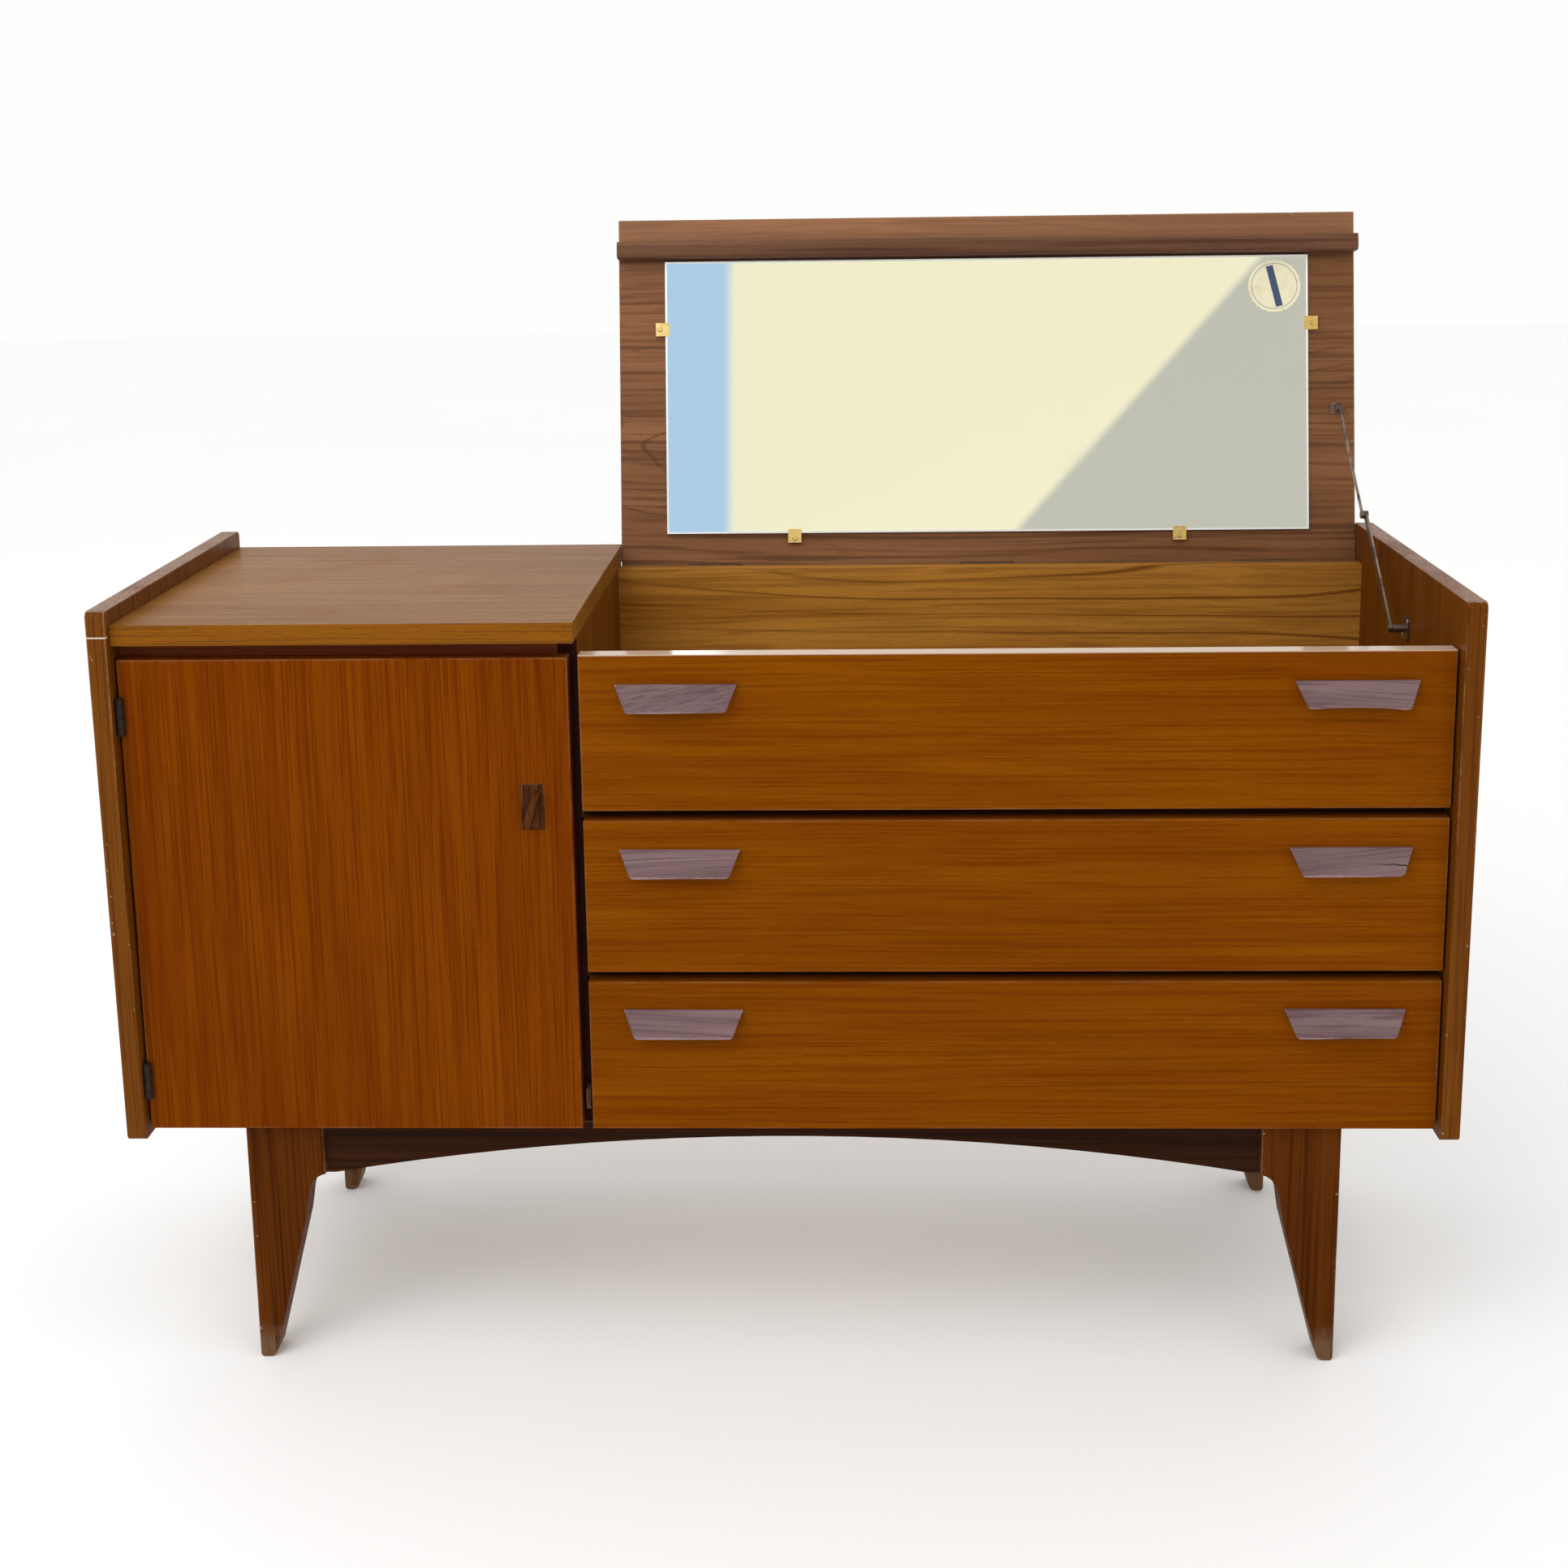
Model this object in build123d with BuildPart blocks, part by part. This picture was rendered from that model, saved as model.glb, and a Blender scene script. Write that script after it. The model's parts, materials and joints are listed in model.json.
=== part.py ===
"""Dressing chest: a cupboard, two drawers and a lidded well with a mirror, on a tapered leg frame.

Millimetres, +Z up, +X to the right of someone facing the chest, and the front faces -Y.
The origin is on the floor, in the middle of the ground the chest covers with its lid open.
"""

import os
from math import atan2, cos, degrees, hypot, radians, sin, sqrt

from build123d import *

os.makedirs("parts", exist_ok=True)

# Case
width = 1400.0  # across the two side panels
depth = 450.0  # side panels, front to back
leg_height = 267.0  # floor to the lower ends of the side panels
case_height = 575.0  # side panels, lower end to the top of the front edge
panel_t = 20.0
panel_lean = 4.6  # how far a side panel's front edge runs back on its way down
rim = 16.5  # side panels above the top board, at the front
rim_rise = 4.0  # side panels higher at the back than at the front
board_t = 21.5  # top board and lid
board_back_step = 10.0  # front edge of the top board and the lid behind the panels' front
cupboard_width = 451.0  # left side panel to divider, inside
shadow_gap = 13.8  # underside of the top board down to the top of the fronts
door_drop = 2.2  # top of the door below the top of the fronts
floor_t = 20.0  # bottom board
panel_hang = 8.4  # side panels below the bottom board
panel_corner_r = 7.0
back_t = 5.0
back_inset = 5.0  # back panels in from the side panels' back edge
edge_r = 0.8  # eased edge of a board
cut_past = 1.0  # how far a cut runs past the piece it shapes

# Fronts, door and gaps
front_step = 16.2  # face of the door and fronts behind the panels' front edge
front_t = 20.0
front_gap = 10.7  # between one front and the next
fronts_up = 0.5  # lowest front's lower edge above the bottom board's underside
side_gap = 2.4  # door or front to a side panel
lid_side_gap = 1.2  # lid to the side panel and to the top board beside it
door_lap = 12.5  # door over the divider's front edge
divider_gap = 3.4  # divider's right face to the fronts
closing_gap = 0.8  # back of a closed door or front to the case behind it

# Well under the lid
rail_t = 20.0
head_rail_h = 40.0
lid_rest_gap = 0.2
rail_drop = 2.0  # underside of the closed lid down to the rail
well_floor_t = 10.0
well_floor_rise = 12.0  # well floor above the lower edge of the well front
cleat_d = 19.0
cleat_h = 12.0
corner_block = 20.0

# Lid and mirror
lid_open_deg = 99.65  # from closed to resting open
lid_pivot_up = 3.5  # closed lid's underside above the hinge pin
lid_pivot_in = 19.0  # hinge pin in from the lid's back edge
batten_w = 20.6
batten_d = 22.9
batten_gap = 1.8  # closed batten to the well front
batten_nose_r = 6.2
mirror_w = 774.0
mirror_h = 330.0
mirror_t = 5.0
mirror_low = 39.7  # lower edge of the mirror above the pin's line
clip_w = 16.0
clip_lap = 5.0
clip_t = 1.2
clip_foot = 11.0
side_clip_up = 248.0  # side clips above the mirror's lower edge
low_clip_out = 232.0  # lower clips either side of the mirror's middle

# Hinges
leaf_t = 0.9
pin_clear = 0.05
door_barrel_r = 4.2
door_pin_r = 1.6
door_hinge_h = 38.0
door_leaf_w = 18.7
door_leaf_start = 0.3  # leaf behind the door's face
barrel_side_gap = 0.2  # barrel to the side panel
barrel_face_gap = 0.4  # barrel to the door's face
pin_cap_h = 1.2
door_hinge_top = 59.0  # upper hinge's middle below the top of the door
door_hinge_low = 56.0  # lower hinge's middle above the foot of the door
lid_barrel_r = 3.3
lid_pin_r = 1.4
lid_hinge_w = 64.0
lid_leaf_down = 24.0
leaf_back_gap = 1.0  # lid leaf in from the lid's back edge
leaf_gap = 0.3  # leaf to the barrel
barrel_rail_gap = 0.7  # barrel to the back rail
lid_hinge_reach = 330.0  # outer lid hinges either side of the middle one

# Folding lid stay on the right
stay_pin_up = 185.0  # lid pin above the hinge line, along the lid
stay_pin_out = 8.0  # lid pin in front of the lid's face
stay_anchor_y = 212.0  # case pin behind the panels' front
stay_anchor_down = 36.0  # case pin below the underside of the closed lid
stay_plate_t = 1.5
stay_plate_w = 26.0
stay_plate_r = 4.3
stay_foot_w = 7.0
stay_foot_h = 13.0
stay_rod_x = 21.0  # rod's middle in from the right side panel
stay_arm_share = 0.493  # elbow's place along the open stay, from the case pin
rod_r = 1.7
eye_t = 4.0
eye_r = 4.6
pin_head_r = 3.7
arm_t = 2.4
arm_w = 9.0
elbow_boss_t = 1.2  # eye raised on the arm at the elbow
stay_pin_r = 2.0
knuckle_gap = 0.5

# Door latch
latch_in = 40.0  # spindle in from the door's free edge
latch_down = 157.0  # spindle below the top of the door
plate_w = 24.0
plate_h = 49.0
plate_t = 3.0
plate_sink = 2.0
lever_l = 40.0
lever_w = 10.5
lever_d = 15.0
lever_tilt = 19.0  # lever's top leans to the right at rest
lever_taper = 3.0  # degrees that its sides draw in towards its face
lever_end_angle = 88.0  # its long sides close in a little towards the top
lever_gap = 0.6  # lever clear of the door's face
spindle_r = 4.0
spindle_neck_r = 2.4
spindle_in = 6.0  # spindle's depth in the lever
rivet_h = 1.3
tongue_l = 25.5
tongue_w = 10.0
tongue_t = 2.4
keeper_reach = 8.5
keeper_h = 24.0
keeper_t = 1.5
latch_turn = 71.0  # turn that brings the tongue level, behind the keeper

# Drawers
box_h = 120.0
box_rise = 21.0  # drawer box above the lower edge of its front
box_side_t = 13.0
box_back_t = 12.0
box_l = 364.0
box_gap = 1.5  # drawer side to the case
bottom_t = 5.0
bottom_rise = 8.0
bottom_let_in = 5.0
runner_h = 12.0
runner_in = 7.5
runner_rise = 70.0  # runner's underside above the drawer box's lower edge
groove_start = 15.0  # groove behind the drawer's front
runner_back = 20.0  # runner stops this far in front of the back panel
slide_clear = 0.5
drawer_rail_d = 40.0
drawer_rail_t = 15.0
stop_block_w = 4.5  # block between the door and the lower drawer
stop_block_d = 14.0
stop_block_h = 22.0

# Pulls
pull_top_w = 124.0
pull_low_w = 103.0
pull_h = 27.0
pull_top_d = 3.5
pull_low_d = 15.8
pull_undercut = 9.0  # underside rises this much towards the front it is fixed to
pull_drop = 30.5  # below the top edge of a front
pull_out = 342.5  # either side of the fronts' middle
pull_screw_share = 0.7  # screws this far down a pull

# Shelf
shelf_t = 16.0
shelf_up = 241.0  # shelf's underside above the bottom board
shelf_gap = 1.0
shelf_short = 22.0  # shelf behind the door
shelf_pin_r = 2.5
shelf_pin_l = 20.0
shelf_pin_in = 10.0
shelf_pin_front = 62.0  # front pins behind the case's front
shelf_pin_back = 60.0  # back pins in front of the back panel

# Leg frame
frame_off = 1.6  # leg frame's middle to the right of the case's
leg_face = 30.0  # front leg's face behind the panels' front
leg_back_face = 22.0  # back leg's face in from the panels' back edge
leg_t = 32.0
leg_outer = 582.6  # outer edge of a leg from the frame's middle
leg_top_w = 83.0
leg_knee_w = 57.0  # width where the straight taper starts
leg_knee_z = 158.0
leg_curve_slope = 0.2  # how steeply the leg's hollow curve leaves the apron
foot_w = 16.0
foot_outer_r = 4.5
foot_inner_r = 9.0
apron_set = 5.0  # apron's face behind the leg's face
apron_t = 20.0
apron_end_h = 59.5
arch_rise = 42.0
arch_flat = 10.0  # straight stretch of the arch beside each leg
side_rail_t = 22.0
side_rail_h = 55.0
side_rail_in = 45.0  # side rail in from a leg's outer edge

# Screws
screw_r = 2.0
screw_head_r = 4.2
screw_head_h = 2.6
case_screw_l = 45.0
pull_screw_l = 25.0
clip_screw_r = 1.5
clip_screw_l = 12.0
clip_head_r = 3.3
clip_head_h = 1.0
pull_screw_out = 36.0  # either side of a pull's middle
frame_screw_pitch = 300.0

# Levels and planes worked out from the sizes above
inner = width / 2 - panel_t
case_floor = leg_height + panel_hang
case_top = leg_height + case_height
board_top = case_top - rim
board_low = board_top - board_t
fronts_top = board_low - shadow_gap
fronts_low = case_floor + fronts_up
front_h = (fronts_top - fronts_low - 2 * front_gap) / 3
divider_left = -inner + cupboard_width
divider_right = divider_left + panel_t
fronts_left = divider_right + divider_gap
fronts_right = inner - side_gap
fronts_middle = (fronts_left + fronts_right) / 2

lean = radians(lid_open_deg - 90)
lid_len = depth - board_back_step
lid_reach = lid_len - lid_pivot_in  # hinge line to the lid's front edge
pivot_in_case = depth - lid_pivot_in
covered = pivot_in_case + lid_pivot_up * cos(lean) + lid_reach * sin(lean) + board_t * cos(lean)
front_y = -covered / 2  # side panels' front edge

face_y = front_y + front_step
face_back_y = face_y + front_t
case_y = face_back_y + closing_gap
back_y = front_y + depth - back_inset - back_t
pivot_y = front_y + pivot_in_case
pivot_z = board_low - lid_pivot_up
rail_y = pivot_y - lid_barrel_r - barrel_rail_gap - rail_t
rail_top = board_low - rail_drop

lid_left = divider_right + lid_side_gap
lid_right = inner - lid_side_gap
lid_middle = (lid_left + lid_right) / 2
# On the open lid, local X is X, local Y climbs the lid and local Z faces the sitter
lid_plane = Plane(origin=(0, pivot_y, pivot_z), x_dir=(1, 0, 0), z_dir=(0, -cos(lean), sin(lean)))


def save(piece, name):
    """Label a finished piece and write it."""
    piece.part.label = name
    export_step(piece.part, f"parts/{name}.step")


def board(x, y, z, plane=Plane.XY, ease=0.0):
    """A square board between pairs of limits, with its long edges eased if asked."""
    with BuildPart() as piece:
        with BuildSketch(plane.offset(z[0])):
            with Locations(((x[0] + x[1]) / 2, (y[0] + y[1]) / 2)):
                Rectangle(x[1] - x[0], y[1] - y[0])
        extrude(amount=z[1] - z[0])
        if ease:
            fillet(piece.edges(), ease)
    return piece


def boards(places, plane=Plane.XY):
    """Several separate boards in one piece."""
    with BuildPart() as piece:
        for x, y, z in places:
            with BuildSketch(plane.offset(z[0])):
                with Locations(((x[0] + x[1]) / 2, (y[0] + y[1]) / 2)):
                    Rectangle(x[1] - x[0], y[1] - y[0])
            extrude(amount=z[1] - z[0])
    return piece


def screws(places, direction, length, shank_r=screw_r, head_r=screw_head_r, head_h=screw_head_h):
    """Countersunk screws, each starting at its head and running along direction."""
    with BuildPart() as piece:
        for place in places:
            start = Plane(origin=place, z_dir=direction)
            with BuildSketch(start):
                Circle(head_r)
            with BuildSketch(start.offset(head_h)):
                Circle(shank_r)
            loft()
            with BuildSketch(start.offset(head_h)):
                Circle(shank_r)
            extrude(amount=length - head_h)
    return piece


# ---- Case ----
shelf_z = case_floor + floor_t + shelf_up
shelf_pin_z = shelf_z - shelf_pin_r
shelf_pin_ys = (case_y + shelf_pin_front, back_y - shelf_pin_back)


def shelf_pin_row(x, length, radius):
    """Round pegs along X at the shelf's level, for adding or for cutting."""
    for y in shelf_pin_ys:
        with BuildSketch(Plane.YZ.offset(x)) as peg:
            with Locations((y, shelf_pin_z)):
                Circle(radius)
        yield peg.sketch, length


def side_panel(x, pin_x=None):
    """Side panel between two x limits, its front edge running back on the way down."""
    with BuildPart() as piece:
        with BuildSketch(Plane.YZ.offset(x[0])) as outline:
            with BuildLine():
                Polyline(
                    (front_y, case_top),
                    (front_y + panel_lean, leg_height),
                    (front_y + depth, leg_height),
                    (front_y + depth, case_top + rim_rise),
                    close=True,
                )
            make_face()
            fillet(outline.vertices(), panel_corner_r)
        extrude(amount=x[1] - x[0])
        fillet(piece.faces().sort_by(Axis.X)[0].edges(), edge_r)
        fillet(piece.faces().sort_by(Axis.X)[-1].edges(), edge_r)
        if pin_x is not None:
            for peg, length in shelf_pin_row(pin_x, shelf_pin_in, shelf_pin_r):
                extrude(peg, amount=length, mode=Mode.SUBTRACT)
    return piece


save(side_panel((-width / 2, -inner), pin_x=-inner - shelf_pin_in), "left_side_panel")
save(side_panel((inner, width / 2)), "right_side_panel")

with BuildPart() as divider_panel:
    with BuildSketch(Plane.XY.offset(case_floor + floor_t)):
        with Locations(((divider_left + divider_right) / 2, (case_y + back_y) / 2)):
            Rectangle(panel_t, back_y - case_y)
    extrude(amount=board_low - case_floor - floor_t)
    for peg, length in shelf_pin_row(divider_left, shelf_pin_in, shelf_pin_r):
        extrude(peg, amount=length, mode=Mode.SUBTRACT)
save(divider_panel, "divider_panel")

top_y = (front_y + board_back_step, front_y + depth)
save(board((-inner, divider_right), top_y, (board_low, board_top), ease=edge_r), "top_board")
save(board((-inner, inner), (case_y, back_y), (case_floor, case_floor + floor_t)), "bottom_board")

back_split = (divider_left + divider_right) / 2
lid_sweep_low = pivot_z - hypot(lid_pivot_in, board_t + lid_pivot_up)
save(board((-inner, back_split), (back_y, back_y + back_t), (case_floor, board_low)), "cupboard_back")
save(board((back_split, inner), (back_y, back_y + back_t), (case_floor, lid_sweep_low)), "drawer_bay_back")

head_rail_z = (board_low - head_rail_h, board_low)
save(board((-inner, divider_left), (case_y, case_y + rail_t), head_rail_z), "door_head_rail")

shelf_x = (-inner + shelf_gap, divider_left - shelf_gap)
shelf_y = (case_y + shelf_short, back_y - shelf_gap)
save(board(shelf_x, shelf_y, (shelf_z, shelf_z + shelf_t), ease=edge_r), "cupboard_shelf")
with BuildPart() as shelf_pins:
    for pin_start in (-inner - shelf_pin_in, divider_left - shelf_pin_l + shelf_pin_in):
        for peg, length in shelf_pin_row(pin_start, shelf_pin_l, shelf_pin_r):
            extrude(peg, amount=length)
save(shelf_pins, "shelf_pins")


# ---- Well under the lid ----
well_floor_z = fronts_top - front_h + well_floor_rise
well_x = (divider_right, inner)
save(board(well_x, (case_y, back_y), (well_floor_z - well_floor_t, well_floor_z)), "well_floor")
save(board(well_x, (rail_y, rail_y + rail_t), (well_floor_z, rail_top)), "well_back_rail")
well_front_z = (fronts_top - front_h, fronts_top)
well_front = board((fronts_left, fronts_right), (face_y, face_back_y), well_front_z, ease=edge_r)
save(well_front, "well_front")

batten_low = board_low - batten_d
cleat_z = (batten_low - cleat_h - lid_rest_gap, batten_low - lid_rest_gap)
cleat_y = (face_back_y, face_back_y + cleat_d)
save(board((fronts_left, fronts_right), cleat_y, cleat_z), "lid_rest_cleat")
block_z = (well_floor_z, cleat_z[0])
block_xs = ((divider_right, divider_right + corner_block), (inner - corner_block, inner))
glue_blocks = [(x, (face_back_y, face_back_y + corner_block), block_z) for x in block_xs]
stop_x = (fronts_left - side_gap - stop_block_w, fronts_left - side_gap)
stop_z = (case_floor + floor_t, case_floor + floor_t + stop_block_h)
glue_blocks.append((stop_x, (case_y - stop_block_d, case_y), stop_z))
save(boards(glue_blocks), "glue_blocks")


# ---- Drawers ----
drawer_lows = {
    "middle": fronts_top - 2 * front_h - front_gap,
    "lower": fronts_low,
}
box_x = (divider_right + box_gap, inner - box_gap)
box_inner_x = (box_x[0] + box_side_t, box_x[1] - box_side_t)
box_y = (face_back_y, face_back_y + box_l)
groove_d = runner_in - box_gap + slide_clear


def drawer_sides(low):
    """The two sides of a drawer box, each grooved outside for its runner and inside for the bottom."""
    groove_z = (low + runner_rise - slide_clear, low + runner_rise + runner_h + slide_clear)
    let_in_z = (low + bottom_rise, low + bottom_rise + bottom_t)
    with BuildPart() as piece:
        for x, out in ((box_x[0], 1), (box_x[1], -1)):
            side = (x, x + out * box_side_t)
            outer = (x, x + out * groove_d)
            inside = (x + out * (box_side_t - bottom_let_in), x + out * box_side_t)
            runner_y = (box_y[0] + groove_start, box_y[1])
            for limits, y, z, mode in (
                (side, box_y, (low, low + box_h), Mode.ADD),
                (outer, runner_y, groove_z, Mode.SUBTRACT),
                (inside, box_y, let_in_z, Mode.SUBTRACT),
            ):
                with BuildSketch(Plane.XY.offset(z[0])):
                    with Locations(((limits[0] + limits[1]) / 2, (y[0] + y[1]) / 2)):
                        Rectangle(abs(limits[1] - limits[0]), y[1] - y[0])
                extrude(amount=z[1] - z[0], mode=mode)
    return piece


def pulls(top_z):
    """A pair of wedge pulls: the face slopes out and down, and the underside is cut back for fingers."""
    with BuildPart() as piece:
        for middle in (fronts_middle - pull_out, fronts_middle + pull_out):
            with BuildSketch(Plane.YZ.offset(middle - pull_top_w / 2)):
                with BuildLine():
                    Polyline(
                        (face_y, top_z),
                        (face_y - pull_top_d, top_z),
                        (face_y - pull_low_d, top_z - pull_h),
                        (face_y, top_z - pull_h + pull_undercut),
                        close=True,
                    )
                make_face()
            extrude(amount=pull_top_w)
            with BuildSketch(Plane.XZ.offset(-face_y)) as face:
                with Locations((middle, top_z - pull_h / 2)):
                    Rectangle(pull_top_w + 2 * cut_past, pull_h + 2 * cut_past)
                with BuildLine():
                    Polyline(
                        (middle - pull_top_w / 2, top_z),
                        (middle + pull_top_w / 2, top_z),
                        (middle + pull_low_w / 2, top_z - pull_h),
                        (middle - pull_low_w / 2, top_z - pull_h),
                        close=True,
                    )
                make_face(mode=Mode.SUBTRACT)
            extrude(amount=pull_low_d + cut_past, mode=Mode.SUBTRACT)
    return piece


def pull_screw_places(top_z):
    """Where the screws of a pair of pulls start, at the back of the front."""
    z = top_z - pull_drop - pull_h * pull_screw_share
    middles = (fronts_middle - pull_out, fronts_middle + pull_out)
    return [(m + out, face_back_y, z) for m in middles for out in (-pull_screw_out, pull_screw_out)]


save(pulls(fronts_top - pull_drop), "well_pulls")
save(screws(pull_screw_places(fronts_top), (0, -1, 0), pull_screw_l), "well_pull_screws")
for name, front_low in drawer_lows.items():
    low = front_low + box_rise
    front_z = (front_low, front_low + front_h)
    drawer_front = board((fronts_left, fronts_right), (face_y, face_back_y), front_z, ease=edge_r)
    save(drawer_front, f"{name}_drawer_front")
    save(drawer_sides(low), f"{name}_drawer_sides")
    back_box = ((box_y[1] - box_back_t, box_y[1]), (low + bottom_rise + bottom_t, low + box_h))
    save(board(box_inner_x, *back_box), f"{name}_drawer_back")
    bottom_x = (box_inner_x[0] - bottom_let_in, box_inner_x[1] + bottom_let_in)
    save(board(bottom_x, box_y, (low + bottom_rise, low + bottom_rise + bottom_t)), f"{name}_drawer_bottom")
    save(pulls(front_low + front_h - pull_drop), f"{name}_drawer_pulls")
    places = pull_screw_places(front_low + front_h)
    save(screws(places, (0, -1, 0), pull_screw_l), f"{name}_pull_screws")

runner_y = (case_y + runner_back, back_y - runner_back)
runner_zs = [low + box_rise + runner_rise for low in drawer_lows.values()]
runner_xs = ((divider_right, divider_right + runner_in), (inner - runner_in, inner))
save(boards([(x, runner_y, (z, z + runner_h)) for z in runner_zs for x in runner_xs]), "drawer_runners")

rail_tops = (well_floor_z - well_floor_t, drawer_lows["middle"] - (front_gap - drawer_rail_t) / 2)
rail_zs = [(top - drawer_rail_t, top) for top in rail_tops]
save(boards([(well_x, (case_y, case_y + drawer_rail_d), z) for z in rail_zs]), "drawer_rails")


# ---- Leg frame ----
arch_z = case_floor - apron_end_h
leg_front_y = (front_y + leg_face, front_y + leg_face + leg_t)
leg_rear_y = (front_y + depth - leg_back_face - leg_t, front_y + depth - leg_back_face)


def leg(hand, y):
    """Flat leg: straight outside, tapered inside, with a hollow curve up to the apron."""
    outer_x = frame_off + hand * leg_outer
    apron_x = frame_off + hand * (leg_outer - leg_top_w)
    knee_x = frame_off + hand * (leg_outer - leg_knee_w)
    foot_x = frame_off + hand * (leg_outer - foot_w)
    taper = Vector(foot_x - knee_x, -leg_knee_z)
    with BuildPart() as piece:
        with BuildSketch(Plane.XZ.offset(-y[1])) as outline:
            with BuildLine():
                Polyline((knee_x, leg_knee_z), (foot_x, 0), (outer_x, 0), (outer_x, case_floor))
                Polyline((outer_x, case_floor), (apron_x, case_floor), (apron_x, arch_z))
                Spline(
                    (apron_x, arch_z),
                    (knee_x, leg_knee_z),
                    tangents=((hand, -leg_curve_slope), (taper.X, taper.Y)),
                )
            make_face()
            fillet(outline.vertices().sort_by_distance((foot_x, 0))[0], foot_inner_r)
            fillet(outline.vertices().sort_by_distance((outer_x, 0))[0], foot_outer_r)
        extrude(amount=y[1] - y[0])
        front_edges = piece.faces().sort_by(Axis.Y)[0].edges()
        below_apron = front_edges.filter_by(lambda e: e.center().Z < arch_z - edge_r)
        fillet(below_apron, edge_r)
    return piece


def apron(y):
    """Rail between two legs with a shallow arch under it."""
    left = frame_off - leg_outer + leg_top_w
    right = frame_off + leg_outer - leg_top_w
    arch_x = (left + arch_flat, right - arch_flat)
    with BuildPart() as piece:
        with BuildSketch(Plane.XZ.offset(-y[1])):
            with BuildLine():
                Polyline((arch_x[0], arch_z), (left, arch_z), (left, case_floor), (right, case_floor))
                Polyline((right, case_floor), (right, arch_z), (arch_x[1], arch_z))
                ThreePointArc((arch_x[1], arch_z), (frame_off, arch_z + arch_rise), (arch_x[0], arch_z))
            make_face()
        extrude(amount=y[1] - y[0])
    return piece


for side, hand in (("left", -1), ("right", 1)):
    save(leg(hand, leg_front_y), f"{side}_front_leg")
    save(leg(hand, leg_rear_y), f"{side}_back_leg")
apron_front_y = (leg_front_y[0] + apron_set, leg_front_y[0] + apron_set + apron_t)
apron_rear_y = (leg_rear_y[1] - apron_set - apron_t, leg_rear_y[1] - apron_set)
save(apron(apron_front_y), "front_apron")
save(apron(apron_rear_y), "back_apron")
rail_low = case_floor - side_rail_h
side_rails = []
for hand in (-1, 1):
    middle = frame_off + hand * (leg_outer - side_rail_in - side_rail_t / 2)
    rail_x = (middle - side_rail_t / 2, middle + side_rail_t / 2)
    side_rails.append((rail_x, (leg_front_y[1], leg_rear_y[0]), (rail_low, case_floor)))
save(boards(side_rails), "leg_side_rails")

screw_xs = [frame_off + place * frame_screw_pitch for place in (-1.5, -0.5, 0.5, 1.5)]
frame_ys = [sum(apron_front_y) / 2, sum(apron_rear_y) / 2]
screw_top = case_floor + floor_t
frame_places = [(x, y, screw_top) for x in screw_xs for y in frame_ys]
save(screws(frame_places, (0, 0, -1), case_screw_l), "frame_screws")


# ---- Door, its hinges and its latch ----
door_x = (-inner + side_gap, divider_left + door_lap)
door_z = (fronts_low, fronts_top - door_drop)
latch_x = door_x[1] - latch_in
latch_z = door_z[1] - latch_down
plate_y = face_y + plate_sink
with BuildPart() as door_panel:
    with BuildSketch(Plane.XY.offset(door_z[0])):
        with Locations(((door_x[0] + door_x[1]) / 2, (face_y + face_back_y) / 2)):
            Rectangle(door_x[1] - door_x[0], front_t)
    extrude(amount=door_z[1] - door_z[0])
    fillet(door_panel.edges(), edge_r)
    with BuildSketch(Plane.XZ.offset(-face_y)):
        with Locations((latch_x, latch_z)):
            Rectangle(plate_w, plate_h)
    extrude(amount=-plate_sink - plate_t, mode=Mode.SUBTRACT)
    with BuildSketch(Plane.XZ.offset(-face_y)):
        with Locations((latch_x, latch_z)):
            Circle(spindle_r + pin_clear)
    extrude(amount=-front_t, mode=Mode.SUBTRACT)
save(door_panel, "door_panel")

with BuildPart() as latch_plate:
    with BuildSketch(Plane.XZ.offset(-plate_y)):
        with Locations((latch_x, latch_z)):
            Rectangle(plate_w, plate_h)
            Circle(spindle_r + pin_clear, mode=Mode.SUBTRACT)
    extrude(amount=-plate_t)
save(latch_plate, "latch_plate")

lever_y = face_y - lever_gap
with BuildPart() as latch_lever:
    with BuildSketch(Plane.XZ.offset(-lever_y)):
        with Locations(Location((latch_x, latch_z, 0), (0, 0, -lever_tilt))):
            Trapezoid(lever_w, lever_l, lever_end_angle)
    extrude(amount=lever_d, taper=lever_taper)
    fillet(latch_lever.edges().group_by(Axis.Y)[0], edge_r)
    with BuildSketch(Plane.XZ.offset(-lever_y)):
        with Locations((latch_x, latch_z)):
            Circle(spindle_r)
    extrude(amount=spindle_in, mode=Mode.SUBTRACT)
save(latch_lever, "latch_lever")

tongue_y = face_back_y + closing_gap + keeper_t + 2 * slide_clear
with BuildPart() as latch_spindle:
    with BuildSketch(Plane.XZ.offset(-lever_y)):
        with Locations((latch_x, latch_z)):
            Circle(spindle_r)
    extrude(amount=spindle_in)
    extrude(latch_spindle.faces().sort_by(Axis.Y)[-1], amount=tongue_y - lever_y)
    with BuildSketch(Plane.XZ.offset(-tongue_y)):
        with Locations((latch_x, latch_z)):
            Circle(spindle_neck_r)
    extrude(amount=-tongue_t)
    with BuildSketch(Plane.XZ.offset(-tongue_y - tongue_t)):
        with Locations((latch_x, latch_z)):
            Circle(spindle_r)
    extrude(amount=-rivet_h)
save(latch_spindle, "latch_spindle")

tongue_turn = 90 - lever_tilt
with BuildPart() as latch_tongue:
    with BuildSketch(Plane.XZ.offset(-tongue_y)) as blade:
        with Locations(Location((latch_x, latch_z, 0), (0, 0, tongue_turn))):
            with Locations(((tongue_l - tongue_w / 2) / 2, 0)):
                SlotOverall(tongue_l + tongue_w / 2, tongue_w)
        with Locations((latch_x, latch_z)):
            Circle(spindle_neck_r, mode=Mode.SUBTRACT)
    extrude(amount=-tongue_t)
save(latch_tongue, "latch_tongue")

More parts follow.
